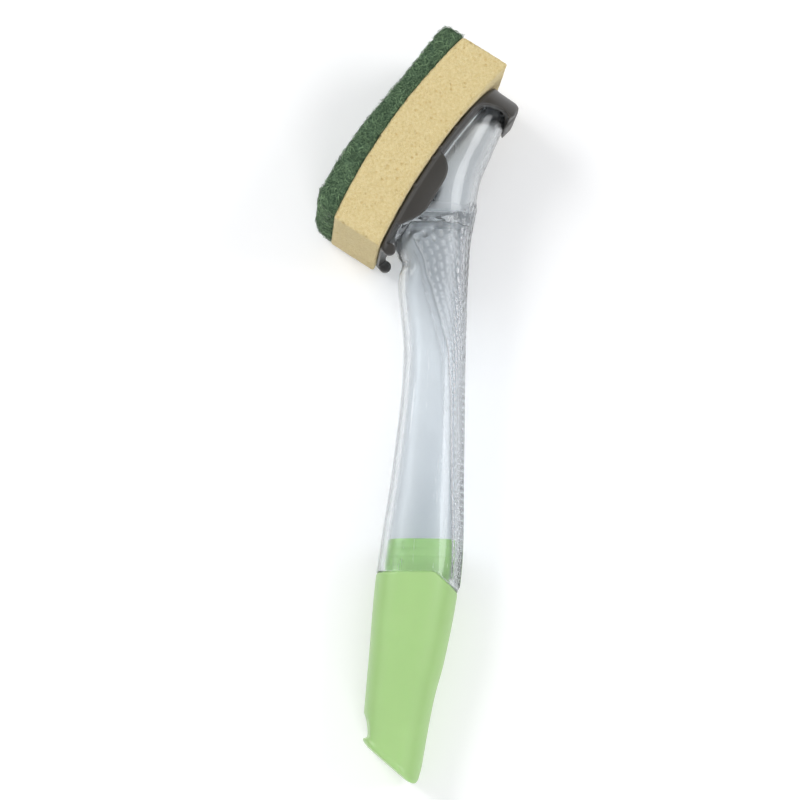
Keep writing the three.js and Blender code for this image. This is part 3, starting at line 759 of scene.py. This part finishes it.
def outlet_rod(name, diameter, high, low=None, down_to=None, sides=48):
    """A rod square to the crown at the outlet, between two heights over it, or down to a profile height."""
    angle = np.linspace(0, 2 * math.pi, sides, endpoint=False)
    u, w = diameter / 2 * np.cos(angle), diameter / 2 * np.sin(angle)
    t0, n0 = OUTLET_AT + u * out_n, crown(OUTLET_AT) - u * out_t
    top = from_head(t0 + high * out_t, n0 + high * out_n, w)
    if down_to is None:
        bottom = from_head(t0 + low * out_t, n0 + low * out_n, w)
    else:
        fall = from_head(-out_t, -out_n) - from_head(0.0, 0.0)
        bottom = top + fall * ((down_to - top[:, 1]) / fall[1])[:, None]
    rod_faces = [[k, k + sides, (k + 1) % sides + sides, (k + 1) % sides] for k in range(sides)]
    rod_faces += [list(range(sides)), list(range(2 * sides - 1, sides - 1, -1))]
    return mesh_piece(name, np.concatenate([top, bottom]), rod_faces)


pocket_u = nose_stations(NOSE_LENGTH - HANDLE_WALL)
pocket_u = np.concatenate([pocket_u, np.linspace(pocket_u[-1], 8.0, 90)[1:]])
pocket = rings(pocket_u, inset=HANDLE_WALL, lift=None, nose=-HANDLE_WALL, soft=0.9)
pocket_rows = trimmed(pocket, lambda p: CEILING_Y - p[..., 1], 80)
bottom = pocket_rows[-1]
points, faces = closed_skin(np.concatenate([
    pocket_rows[:-7], rounded(pocket_rows[-8], bottom, drawn_in(bottom), 2.4, CEILING_ROWS)]))
on_ceiling = np.arange(len(points)) >= len(points) - CEILING_ROWS * (2 * half_columns - 2)
cut(handle, mesh_piece("pocket_tool", points, faces), "DIFFERENCE", np.where(on_ceiling, CEILING_HAZE, 1.0))
cut(handle, outlet_rod("post_tool", OUTLET_BOSS, -0.05, down_to=CEILING_Y - 1.5), "UNION")
cut(handle, outlet_rod("bore_tool", OUTLET_BORE, 2.0, low=-22.0), "DIFFERENCE")
handle.data.shade_smooth()
handle.data.set_sharp_from_angle(angle=math.radians(38))
print("handle cut:", triangles(handle), "triangles")
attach(handle, "handle")
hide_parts("handle_reservoir")

# %% [markdown]
# ## Solids from a distance field
# Cap and holder are thick moulded shapes whose every edge has a small round. Bevels on cut meshes tear, so
# these two are sampled instead: each feature is a distance, features join and cut through a soft minimum or
# maximum that leaves a fillet, and a net is drawn round the zero level.


# %% Field tools
def soft_max(a, b, radius):
    h = np.clip(0.5 + 0.5 * (a - b) / radius, 0, 1)
    return b + (a - b) * h + radius * h * (1 - h)


def soft_min(a, b, radius):
    return -soft_max(-a, -b, radius)


def outline_distance(x, y, corners):
    """Signed distance to a closed outline, negative inside."""
    corners = np.asarray(corners, float)
    best = np.full(x.shape, 1e9)
    inside = np.zeros(x.shape, bool)
    for (ax, ay), (bx, by) in zip(corners, np.roll(corners, -1, 0)):
        dx, dy = bx - ax, by - ay
        w = np.clip(((x - ax) * dx + (y - ay) * dy) / max(dx * dx + dy * dy, 1e-12), 0, 1)
        best = np.minimum(best, (x - ax - w * dx) ** 2 + (y - ay - w * dy) ** 2)
        if ay != by:
            crosses = (ay > y) != (by > y)
            inside ^= crosses & (x < ax + (y - ay) / (by - ay) * dx)
    return np.where(inside, -1, 1) * np.sqrt(best)


def bezier(*points, count=16):
    w = np.linspace(0, 1, count)[:, None]
    p = [np.asarray(q, float)[None] for q in points]
    while len(p) > 1:
        p = [a * (1 - w) + b * w for a, b in zip(p[:-1], p[1:])]
    return p[0]


def skin_measures(x, y):
    """Where profile points lie on the skin: distance across from the middle, half width and half depth."""
    low, high = np.zeros(x.shape), np.full(x.shape, float(len(STATIONS) - 1))
    table_f, table_s = along_edge(FRONT_EDGE, stations), along_edge(SPINE_EDGE, stations)

    def at(u, table, k):
        return np.interp(u, stations, table[:, k])

    for _ in range(24):
        u = (low + high) / 2
        fx, fy = at(u, table_f, 0), at(u, table_f, 1)
        past = (at(u, table_s, 0) - fx) * (y - fy) - (at(u, table_s, 1) - fy) * (x - fx) > 0
        low, high = np.where(past, u, low), np.where(past, high, u)
    fx, fy, sx, sy = (at(u, table, k) for table in (table_f, table_s) for k in (0, 1))
    wide = np.hypot(sx - fx, sy - fy)
    across = ((x - (fx + sx) / 2) * (sx - fx) + (y - (fy + sy) / 2) * (sy - fy)) / wide
    return across, wide / 2, at(u, table_f, 2)


def skin_distance(measures, z, inset=0.0):
    """About how far a point is outside the skin, after taking a wall off it."""
    across, half, deep = (m[..., None] for m in measures)
    half, deep = half - inset, deep - inset
    c, d = np.abs(across) / half, np.abs(z)[None, None] / deep
    power = np.where(across > 0, SPINE_POWER, FRONT_POWER)
    c, d = c.clip(1e-4), d.clip(1e-4)
    size = (c**power + d**power) ** (1 / power)
    slope = np.hypot(c ** (power - 1) / half, d ** (power - 1) / deep) / size ** (power - 1)
    return (size - 1) / slope


def wrap(field, origin, step):
    """A net of quads round the zero level of a sampled field."""
    shape = np.array(field.shape)
    cells = shape - 1
    total = np.zeros((int(np.prod(cells)), 3))
    count = np.zeros(len(total))
    inside = field < 0
    strides = np.array([cells[1] * cells[2], cells[2], 1])
    quads = []
    for axis in range(3):
        near = [slice(None)] * 3
        far = [slice(None)] * 3
        near[axis], far[axis] = slice(0, -1), slice(1, None)
        first, second = field[tuple(near)], field[tuple(far)]
        at = np.argwhere(inside[tuple(near)] != inside[tuple(far)])
        others = [k for k in range(3) if k != axis]
        at = at[np.all((at[:, others] > 0) & (at[:, others] < cells[others]), 1)]
        f0, f1 = first[tuple(at.T)], second[tuple(at.T)]
        crossing = at.astype(float)
        crossing[:, axis] += f0 / (f0 - f1)
        base = at @ strides
        b, c = strides[others[0]], strides[others[1]]
        ring = np.stack([base - b - c, base - c, base, base - b], 1)
        for k in range(4):
            np.add.at(total, ring[:, k], crossing)
            np.add.at(count, ring[:, k], 1)
        turned = (f0 < 0) ^ (axis == 1)
        quads.append(np.where(turned[:, None], ring, ring[:, ::-1]))
    used = np.flatnonzero(count)
    number = np.full(len(total), -1)
    number[used] = np.arange(len(used))
    return origin + total[used] / count[used, None] * step, number[np.concatenate(quads)]


# %% [markdown]
# ## The end cap
# The cap closes the tail: a hollow green shell with a slanted foot, a thumb notch at its front for pulling it
# off, and a plug with two sealing beads that shows through the clear wall. The foot has a raised rim, which
# is a small step in the skin's distance near the slant.

# %% Cap
FOOT_ANGLE, FOOT_ROUND, RIM_HEIGHT, RIM_WIDTH = math.radians(40.6), 5.0, 0.3, 2.0
NOTCH_TOP, NOTCH_HEIGHT, NOTCH_DEPTH = 51.0, 8.8, 2.4
PLUG_LENGTH, PLUG_ROOT, PLUG_INSET, PLUG_WALL, CAVITY_DEPTH = 12.0, 10.4, 2.45, 1.6, 46.0
BEAD_HEIGHT, BEAD_SPREAD = 0.15, 0.5
CAP_STEP, FAR, BELOW = 0.42, 60.0, -120.0
xs = np.arange(-26.5, 18.5, CAP_STEP)
ys = np.arange(-81.0, 14.5, CAP_STEP)
zs = np.arange(-16.2, 16.3, CAP_STEP)
x, y = np.meshgrid(xs, ys, indexing="ij")
measures = skin_measures(x, y)

slope = np.array([math.cos(FOOT_ANGLE), -math.sin(FOOT_ANGLE)])
tip = np.array([tail_front(-CAP_LENGTH) + FOOT_WIDTH, -CAP_LENGTH])
heel = tip - slope * FOOT_WIDTH / (slope[0] - slope[1] * LEAN)
heel_top, tip_side = heel + [0, FOOT_ROUND * 0.6], tip + [1.5, FOOT_ROUND]
foot = outline_distance(x, y, np.concatenate([
    [[-FAR, heel_top[1]]], bezier(heel_top, heel, heel + slope * FOOT_ROUND),
    bezier(tip - slope * FOOT_ROUND, tip, tip_side),
    [tip_side + [FAR / 2, FAR], [FAR, tip_side[1] + FAR], [FAR, BELOW], [-FAR, BELOW]]]))
top_y, floor_y, turn = -NOTCH_TOP, -NOTCH_TOP - NOTCH_HEIGHT, 1.2
floor_x = tail_front(floor_y) + NOTCH_DEPTH
notch = outline_distance(x, y, np.concatenate([
    [[-FAR, top_y]],
    bezier((tail_front(top_y), top_y), (floor_x, top_y - 2.4),
           (floor_x, floor_y + 3), (floor_x, floor_y + turn)),
    bezier((floor_x, floor_y + turn), (floor_x, floor_y), (floor_x - turn, floor_y)), [[-FAR, floor_y]]]))
spine_x, mouth_top, mouth_dip = TAIL_WIDTH / 2, -CAP_GAP / 2, -CAP_GAP / 2 - TONGUE_DROP
mouth = outline_distance(x, y, [
    (-FAR, mouth_top), (spine_x - TONGUE_WIDTH, mouth_top), (spine_x, mouth_dip), (FAR, mouth_dip),
    (FAR, BELOW), (-FAR, BELOW)])

above_foot = (x - tip[0]) * math.sin(FOOT_ANGLE) + (y - tip[1]) * math.cos(FOOT_ANGLE)
rim_step = RIM_HEIGHT * np.clip((RIM_WIDTH - above_foot) / 0.5, 0, 1)
shell = skin_distance(measures, zs) - rim_step[..., None]
shell = soft_max(shell, mouth[..., None], 0.5)
shell = soft_max(shell, -foot[..., None], 1.0)
shell = soft_max(shell, -notch[..., None], 0.7)
bead_ys = [PLUG_LENGTH * share + 0.4 for share in (0.45, 0.7)]
beads = sum(BEAD_HEIGHT * np.exp(-(((y - bead_y) / BEAD_SPREAD) ** 2)) for bead_y in bead_ys)
plug = skin_distance(measures, zs, PLUG_INSET) - beads[..., None]
plug = soft_max(plug, np.maximum(y - PLUG_LENGTH, -PLUG_ROOT - y)[..., None], 0.6)
hollow = skin_distance(measures, zs, PLUG_INSET + PLUG_WALL)
hollow = soft_max(hollow, (-CAVITY_DEPTH - y)[..., None] * np.ones_like(zs), 1.5)
shell = soft_max(soft_min(shell, plug, 0.4), -hollow, 0.5)
points, faces = wrap(shell, np.array([xs[0], ys[0], zs[0]]), CAP_STEP)
cap = mesh_piece("green_cap", points, faces, green_satin)
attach(cap, "cap")
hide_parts("end_cap")
print("cap:", triangles(cap), "triangles")

# %% [markdown]
# ## The sponge holder
# A thin dark plate follows the foam's curve. A wall with a hooked lip wraps the clear nose, an ear grips each
# flank, a round lug sits at each side of the heel, and small spurs along the plate bite into the foam. It is
# sampled in the head's own directions, and the neck's skin, grown by the clearance, is taken out of it, so the
# two fit as they do in the frame.

# %% Holder
HOLD_STEP = 0.33
CLEARANCE, EAR_THICKNESS, EAR_TOE, EAR_LENGTH, EAR_DEPTH = 0.4, 2.6, 2.0, 31.0, 6.6
PLATE_RIM, TOE_WALL, LIP_THICKNESS, LIP_GAP = 0.5, 3.6, 1.4, 0.5
PLATE_HALF = HEAD_DEPTH / 2 + CLEARANCE + EAR_THICKNESS + PLATE_RIM
PLATE_HEEL, TOE_OUT = 40.5, PLATFORM_TOE + CLEARANCE + TOE_WALL
BOTTOM = -NOSE_DEPTH - LIP_THICKNESS - LIP_GAP
LUG_RADIUS, LUG_SET_IN, LUG_SINK = 2.3, 1.8, 0.8
SPURS, SPUR_RADIUS = (12.5, 3.0, -1.6, -14.0), 0.9
VALVE_ROOM, VALVE_SEAT = 5.3, 1.8
ts = np.arange(-43.5, 40.5, HOLD_STEP)
ns = np.arange(-14.5, 4.5, HOLD_STEP)
zs = np.arange(-20.5, 20.6, HOLD_STEP)
t2, n2 = np.meshgrid(ts, ns, indexing="ij")
tz, zt = np.meshgrid(ts, zs, indexing="ij")


def plan(half, reach, heel_end, corner=2.5):
    """Distance to an outline in plan: a half oval at the toe, straight flanks and round corners at the heel."""
    arc = np.linspace(-math.pi / 2, math.pi / 2, 60)
    toe = np.stack([NOSE_START + reach * np.cos(arc), half * np.sin(arc)], -1)
    round_a = bezier((-heel_end + corner, half), (-heel_end, half), (-heel_end, half - corner), count=8)
    round_b = bezier((-heel_end, -half + corner), (-heel_end, -half), (-heel_end + corner, -half), count=8)
    return outline_distance(tz, zt, np.concatenate([toe, round_a, round_b]))[:, None, :]


rise = n2 - crown(t2)
outline = plan(PLATE_HALF, TOE_OUT - NOSE_START, PLATE_HEEL)
thin_rim = SEAT_GAP + 1.1 * np.clip((outline + 3.2) / 2.4, 0, 1)
plate = soft_max(outline, np.maximum((rise - PLATE_TOP)[..., None], thin_rim - rise[..., None]), 0.5)
toe_outside = np.array([(-7, BOTTOM), (-4.4, BOTTOM + 0.4), (-2.4, BOTTOM + 1.2), (-0.6, BOTTOM + 2.8),
                        (0, BOTTOM + 4.4)])
arch = np.concatenate([
    bezier((-16, 1.0), (-10.8, 0.2), (-8.2, -4.6), (-8.1, -8.2)),
    bezier((-8.1, -8.2), (-8.1, -10.6), (-9.2, BOTTOM + 1.2), (-9.8, BOTTOM + 0.8))])
from_toe = t2 - TOE_OUT
toe_wall = outline_distance(from_toe, n2, np.concatenate([arch, toe_outside, [(0, 1.5), (-16, 1.5)]]))
lip = outline_distance(from_toe, n2, np.concatenate([
    [(-12, BOTTOM + 1.6), (-12, BOTTOM + 0.9), (-9.5, BOTTOM + 0.3)], toe_outside, [(0, -5), (-9, -5)]]))
tongue = (np.hypot((from_toe + 4.5)[..., None] / 8.0, zs[None, None] / 9.0) - 1) * 8.0
hook = soft_min(toe_wall[..., None], soft_max(lip[..., None], tongue, 0.8), 2.0)
hook = soft_max(hook, outline, 0.9)
ear_heel = EAR_TOE - EAR_LENGTH
ear = outline_distance(t2, n2, np.concatenate([
    [(EAR_TOE, 1.5), (EAR_TOE, 0)],
    bezier((EAR_TOE, 0), (EAR_TOE - 2, -EAR_DEPTH * 0.85), (EAR_TOE - 9, -EAR_DEPTH * 0.9)),
    bezier((ear_heel + 11, -EAR_DEPTH), (ear_heel + 7, -EAR_DEPTH), (ear_heel, crown(ear_heel))),
    [(ear_heel, 1.5)]]))
flank = np.abs(np.abs(zs) - HEAD_DEPTH / 2 - CLEARANCE - EAR_THICKNESS / 2) - EAR_THICKNESS / 2
ears = soft_max(ear[..., None], flank[None, None], 0.8)
lug_t = -PLATE_HEEL + LUG_SET_IN
lug = np.hypot(t2 - lug_t, n2 - crown(lug_t) + LUG_SINK) - LUG_RADIUS
lugs = soft_max(lug[..., None], flank[None, None], 0.8)
body = soft_min(soft_min(plate, ears, 0.8), hook, 1.0)
body = soft_min(body, lugs, 1.2)
body = soft_max(body, (rise - PLATE_TOP)[..., None], 0.4)
for spur_t in SPURS:
    spur_gap = np.hypot(t2 - spur_t, n2 - crown(spur_t) - PLATE_TOP + 0.3)[..., None]
    spur = np.hypot(spur_gap, (np.abs(zs) - PLATE_HALF + 0.5)[None, None]) - SPUR_RADIUS
    body = soft_min(body, spur, 0.3)
neck_x, neck_y = np.moveaxis(from_head(t2, n2)[..., :2], -1, 0)
neck = skin_distance(skin_measures(neck_x, neck_y), zs) - CLEARANCE
room = np.maximum(neck, (rise - SEAT_GAP)[..., None])
nose_plan = plan(HEAD_DEPTH / 2 + CLEARANCE, NOSE_LENGTH + CLEARANCE, 120.0)
room = np.maximum(room, nose_plan)
body = soft_max(body, -room, 0.4)
dt, dn = t2 - OUTLET_AT, n2 - crown(OUTLET_AT)
bore_u, bore_n = dt * out_n - dn * out_t, dt * out_t + dn * out_n
radius = np.hypot(bore_u[..., None], zs[None, None])
body = np.maximum(body, -np.maximum(radius - VALVE_ROOM, (bore_n - VALVE_SEAT)[..., None]))
body = np.maximum(body, -(radius - OUTLET_BORE / 2))
points, faces = wrap(body, np.array([ts[0], ns[0], zs[0]]), HOLD_STEP)
holder = mesh_piece("dark_holder", from_head(*points.T), faces, dark_satin)
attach(holder, "head")
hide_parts("sponge_holder")
print("holder:", triangles(holder), "triangles")

# %% [markdown]
# ## Foam
# The block is cut foam: flat faces, edges that are only a little soft, and a surface of burst cells with some
# larger pores. A sewn cushion would be inflated with cloth, but foam is carved, so a fine rounded block is
# bent over the crown and a geometry tree sinks the pores into it and lets the faces sway a little. The tree
# also keeps how deep each point sank, and the material paints shade into the pores by that: the deeper, the
# darker.


# %% Foam block
def block_net(size, step, soft):
    """A rounded block as an even net, from -size/2 to size/2."""
    size = np.array(size, float)
    counts = np.maximum(np.round(size / step).astype(int), 2)
    points, faces, start = [], [], 0
    for axis in range(3):
        i, j = [k for k in range(3) if k != axis]
        marks = (np.linspace(-0.5, 0.5, counts[k] + 1) for k in (i, j))
        a, b = np.meshgrid(*marks, indexing="ij")
        for end in (-0.5, 0.5):
            face = np.empty(a.shape + (3,))
            face[..., i], face[..., j], face[..., axis] = a * size[i], b * size[j], end * size[axis]
            number = start + np.arange(a.size).reshape(a.shape)
            quad = np.stack([number[:-1, :-1], number[1:, :-1], number[1:, 1:], number[:-1, 1:]], -1)
            quad = quad.reshape(-1, 4)
            faces.append(quad if (end > 0) == (axis != 1) else quad[:, ::-1])
            points.append(face.reshape(-1, 3))
            start += a.size
    points, faces = np.concatenate(points), np.concatenate(faces)
    _, first, back = np.unique(np.round(points, 5), axis=0, return_index=True, return_inverse=True)
    points, faces = points[first], back.reshape(-1)[faces]
    core = np.clip(points, -size / 2 + soft, size / 2 - soft)
    way = points - core
    return core + way / np.linalg.norm(way, axis=1, keepdims=True).clip(1e-9) * soft, faces


foam_paint, tree, shader = new_material("cut_foam")
spot = add(tree, "ShaderNodeTexCoord").outputs["Object"]
pore_painted_shade = add(tree, "ShaderNodeAttribute", attribute_name="pore").outputs["Fac"]
cells = add(tree, "ShaderNodeTexVoronoi", {"Vector": spot, "Scale": 1900.0})
cloud = add(tree, "ShaderNodeTexNoise", {"Vector": spot, "Scale": 1000.0, "Detail": 4.0, "Roughness": 0.75})
base = mix_colours(tree, smooth_range(tree, cloud.outputs["Fac"], 0.25, 0.75),
                   colour(211, 189, 131), colour(230, 213, 163))
# Painted shade: the colour darkens towards a deep tan with how far each point sank into a pore or burst cell.
deep = mix_colours(tree, maths(tree, "MULTIPLY", pore_painted_shade, 0.5, clamp=True), base, colour(196, 162, 96))
tree.links.new(deep, shader.inputs["Base Color"])
shader.inputs["Roughness"].default_value = 0.92
shader.inputs["Sheen Weight"].default_value = 0.15
relief = add(tree, "ShaderNodeBump", {"Height": cells.outputs["Distance"], "Distance": 0.0003, "Strength": 0.9})
tree.links.new(relief.outputs[0], shader.inputs["Normal"])

foam_tree, sizes, result = geometry_tree("foam_pores", {
    "Cell": 0.0009, "Cell Depth": 0.00024, "Pore Spacing": 0.0018, "Pore Size": 0.0007, "Pore Depth": 0.0004,
    "Sway": 0.0005})
here = add(foam_tree, "GeometryNodeInputPosition").outputs[0]
small = add(foam_tree, "ShaderNodeTexVoronoi", {
    "Vector": here, "Scale": maths(foam_tree, "DIVIDE", 1.0, sizes["Cell"])})
large = add(foam_tree, "ShaderNodeTexVoronoi", {
    "Vector": here, "Scale": maths(foam_tree, "DIVIDE", 1.0, sizes["Pore Spacing"])})
wide = maths(foam_tree, "DIVIDE", sizes["Pore Size"], sizes["Pore Spacing"])
chance = add(foam_tree, "ShaderNodeSeparateXYZ", {0: large.outputs["Color"]}).outputs[0]
wide = maths(foam_tree, "MULTIPLY", wide, smooth_range(foam_tree, chance, 0.3, 1.0, 0.25, 1.0))
pore = smooth_range(foam_tree, large.outputs["Distance"], wide, maths(foam_tree, "MULTIPLY", wide, 0.35))
burst = smooth_range(foam_tree, small.outputs["Distance"], 0.55, 0.12)
sway = add(foam_tree, "ShaderNodeTexNoise", {"Vector": here, "Scale": 150.0, "Detail": 2.0})
level = maths(foam_tree, "MULTIPLY", maths(foam_tree, "SUBTRACT", sway.outputs["Fac"], 0.5), sizes["Sway"])
sink = maths(foam_tree, "ADD", maths(foam_tree, "MULTIPLY", pore, sizes["Pore Depth"]),
             maths(foam_tree, "MULTIPLY", burst, sizes["Cell Depth"]))
# How much painted shade each point gets in the foam's colour: full in the large pores, less in the burst cells.
shade = maths(foam_tree, "ADD", pore, maths(foam_tree, "MULTIPLY", burst, 0.3))
kept = add(foam_tree, "GeometryNodeStoreNamedAttribute", {
    "Geometry": sizes["Geometry"], "Name": "pore", "Value": shade}, data_type="FLOAT", domain="POINT")
lift_skin(foam_tree, kept.outputs[0], maths(foam_tree, "SUBTRACT", level, sink), foam_paint, result)

TOE_SPREAD, FOAM_STEP, FOAM_EDGE = 0.6, 0.39, 1.2
net, faces = block_net((SPONGE_LENGTH + TOE_SPREAD, FOAM_THICKNESS, SPONGE_WIDTH), FOAM_STEP, FOAM_EDGE)
height = net[:, 1] + FOAM_THICKNESS / 2
bent = from_head(net[:, 0] + TOE_SPREAD / 2 - FACE_SKEW * height / FOAM_THICKNESS,
                 crown(net[:, 0]) + FOAM_BACK + height, net[:, 2])
foam = grow(mesh_piece("foam_sponge", bent, faces), foam_tree)
foam.data.shade_smooth()
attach(foam, "head")
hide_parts("foam_block")
print("foam:", triangles(foam), "triangles")

# %% [markdown]
# ## Scouring web
# The scrubbing face is a springy web of stiff green fibres. Hair would vanish in the export, so a geometry
# tree scatters short three-sided fibres over a plain core, lays each along the surface with a random turn,
# and shakes them all with noise until they curl. Each fibre carries its own tint. The core's outer line is a
# short table of heights, fuller at both ends and thinner towards the toe, blurred so that no corner shows.

# %% Web material and tree
web_paint, tree, shader = new_material("scouring_web")
tint = add(tree, "ShaderNodeAttribute", attribute_name="fibre_tint").outputs["Fac"]
spot = add(tree, "ShaderNodeTexCoord").outputs["Object"]
mottle = add(tree, "ShaderNodeTexNoise", {"Vector": spot, "Scale": 1500.0, "Detail": 2.0}).outputs["Fac"]
blend = maths(tree, "ADD", tint, maths(tree, "MULTIPLY", maths(tree, "SUBTRACT", mottle, 0.5), 0.9), clamp=True)
tree.links.new(mix_colours(tree, blend, colour(44, 72, 46), colour(164, 198, 150)), shader.inputs["Base Color"])
shader.inputs["Roughness"].default_value = 0.7

web_tree, sizes, result = geometry_tree("fibre_web", {
    "Density": 1410000.0, "Fibre Length": 0.0031, "Fibre Radius": 0.000065, "Curl": 0.0016, "Seed": 7})
cover = attribute(web_tree, "web")
scatter = add(web_tree, "GeometryNodeDistributePointsOnFaces", {
    "Mesh": sizes["Geometry"], "Density": maths(web_tree, "MULTIPLY", sizes["Density"], cover),
    "Seed": sizes["Seed"]}, distribute_method="RANDOM")
half = maths(web_tree, "MULTIPLY", sizes["Fibre Length"], 0.5)
bend = {"Resolution": 2}
for label, place in (("Start", {0: maths(web_tree, "MULTIPLY", half, -1.0)}),
                     ("Middle", {1: maths(web_tree, "MULTIPLY", half, 0.5), 2: 0.0006}), ("End", {0: half})):
    bend[label] = add(web_tree, "ShaderNodeCombineXYZ", place).outputs[0]
arc = add(web_tree, "GeometryNodeCurveQuadraticBezier", bend)
thread = add(web_tree, "GeometryNodeCurveToMesh", {
    "Curve": arc.outputs[0], "Fill Caps": True,
    "Profile Curve": add(web_tree, "GeometryNodeCurvePrimitiveCircle", {
        "Resolution": 3, "Radius": sizes["Fibre Radius"]}).outputs[0]})
spin = add(web_tree, "FunctionNodeRandomValue", {
    0: (-0.6, -0.65, 0.0), 1: (0.6, 0.65, 6.28318), "Seed": 3}, data_type="FLOAT_VECTOR").outputs[0]
turned = add(web_tree, "FunctionNodeRotateRotation", {
    0: scatter.outputs["Rotation"], 1: add(web_tree, "FunctionNodeEulerToRotation", {0: spin}).outputs[0]},
    rotation_space="LOCAL").outputs[0]
length = add(web_tree, "FunctionNodeRandomValue", {2: 0.55, 3: 1.2, "Seed": 5}, data_type="FLOAT").outputs[1]
strands = add(web_tree, "GeometryNodeInstanceOnPoints", {
    "Points": scatter.outputs["Points"], "Instance": thread.outputs[0], "Rotation": turned,
    "Scale": add(web_tree, "ShaderNodeCombineXYZ", {0: length, 1: 1.0, 2: 1.0}).outputs[0]})
shade = add(web_tree, "FunctionNodeRandomValue", {2: 0.0, 3: 1.0, "Seed": 11}, data_type="FLOAT").outputs[1]
shade = maths(web_tree, "MULTIPLY", shade, shade)
tinted = add(web_tree, "GeometryNodeStoreNamedAttribute", {
    "Geometry": strands.outputs[0], "Name": "fibre_tint", "Value": shade}, data_type="FLOAT", domain="INSTANCE")
real = add(web_tree, "GeometryNodeRealizeInstances", {"Geometry": tinted.outputs[0]})
here = add(web_tree, "GeometryNodeInputPosition").outputs[0]
shake = add(web_tree, "ShaderNodeTexNoise", {"Vector": here, "Scale": 420.0, "Detail": 1.0}).outputs["Color"]
centred = add(web_tree, "ShaderNodeVectorMath", {0: shake, 1: (0.5, 0.5, 0.5)}, operation="SUBTRACT").outputs[0]
curl = add(web_tree, "ShaderNodeVectorMath", {0: centred, 3: sizes["Curl"]}, operation="SCALE").outputs[0]
curled = add(web_tree, "GeometryNodeSetPosition", {"Geometry": real.outputs[0], "Offset": curl})
joined = add(web_tree, "GeometryNodeJoinGeometry")
web_tree.links.new(curled.outputs[0], joined.inputs[0])
web_tree.links.new(sizes["Geometry"], joined.inputs[0])
dressed = add(web_tree, "GeometryNodeSetMaterial", {"Geometry": joined.outputs[0], "Material": web_paint})
web_tree.links.new(dressed.outputs[0], result.inputs[0])

# %% Scouring pad
HALF = SPONGE_LENGTH / 2
CORE_SHY, SEAM, TOE_SHIFT = 0.5, 0.2, 0.1
CORE_STEP, CORE_EDGE, CORE_TINT, SEAM_BAND, SEAM_COVER = 1.2, 0.9, 0.12, 1.3, 1.5
net, faces = block_net((SPONGE_LENGTH - 0.4, PAD_THICKNESS, SPONGE_WIDTH - 1), CORE_STEP, CORE_EDGE)
share = (net[:, 1] + PAD_THICKNESS / 2) / PAD_THICKNESS
line_t = [-41.3, -40.6, -39.5, -36.6, -28.0, -17.5, -5.0, 7.0, 16.0, 24.6, 35.2, 38.0, 40.0, 40.9, 41.3]
line_rise = [4.2, 6.4, 8.0, 8.9, 8.4, 8.0, 7.4, 6.5, 6.1, 6.5, 7.5, 7.9, 7.5, 6.4, 5.2]
reach = np.arange(-HALF - 3, HALF + 3, 0.1)
blur = np.exp(-0.5 * (np.arange(-25, 26) * 0.1 / 0.6) ** 2)
line = np.convolve(np.interp(reach, line_t, line_rise), blur / blur.sum(), "same")
rise = np.interp(net[:, 0], reach, line) - CORE_SHY
core = from_head(net[:, 0] + TOE_SHIFT, crown(net[:, 0]) + PAD_BACK - SEAM + share * (rise + SEAM), net[:, 2])
pad = mesh_piece("scouring_web", core, faces)
from_side = np.minimum(HALF - 0.5 - np.abs(net[:, 0]), SPONGE_WIDTH / 2 - 0.5 - np.abs(net[:, 2]))
on_seam = np.where(from_side < SEAM_BAND, SEAM_COVER, 0.0)
store(pad, "web", np.where(share < 0.02, on_seam, np.where(share < 0.2, SEAM_COVER, 1.0)))
store(pad, "fibre_tint", np.full(len(core), CORE_TINT))
grow(pad, web_tree)
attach(pad, "head")
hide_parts("scouring_pad")
print("web:", triangles(pad), "triangles")

# %% [markdown]
# ## The valve
# The little slit valve keeps its own solid and only gets the moulded finish.

# %% Valve finish
valve = frame["nodes"]["feed_valve"]
valve.data.materials.clear()
valve.data.materials.append(silicone)
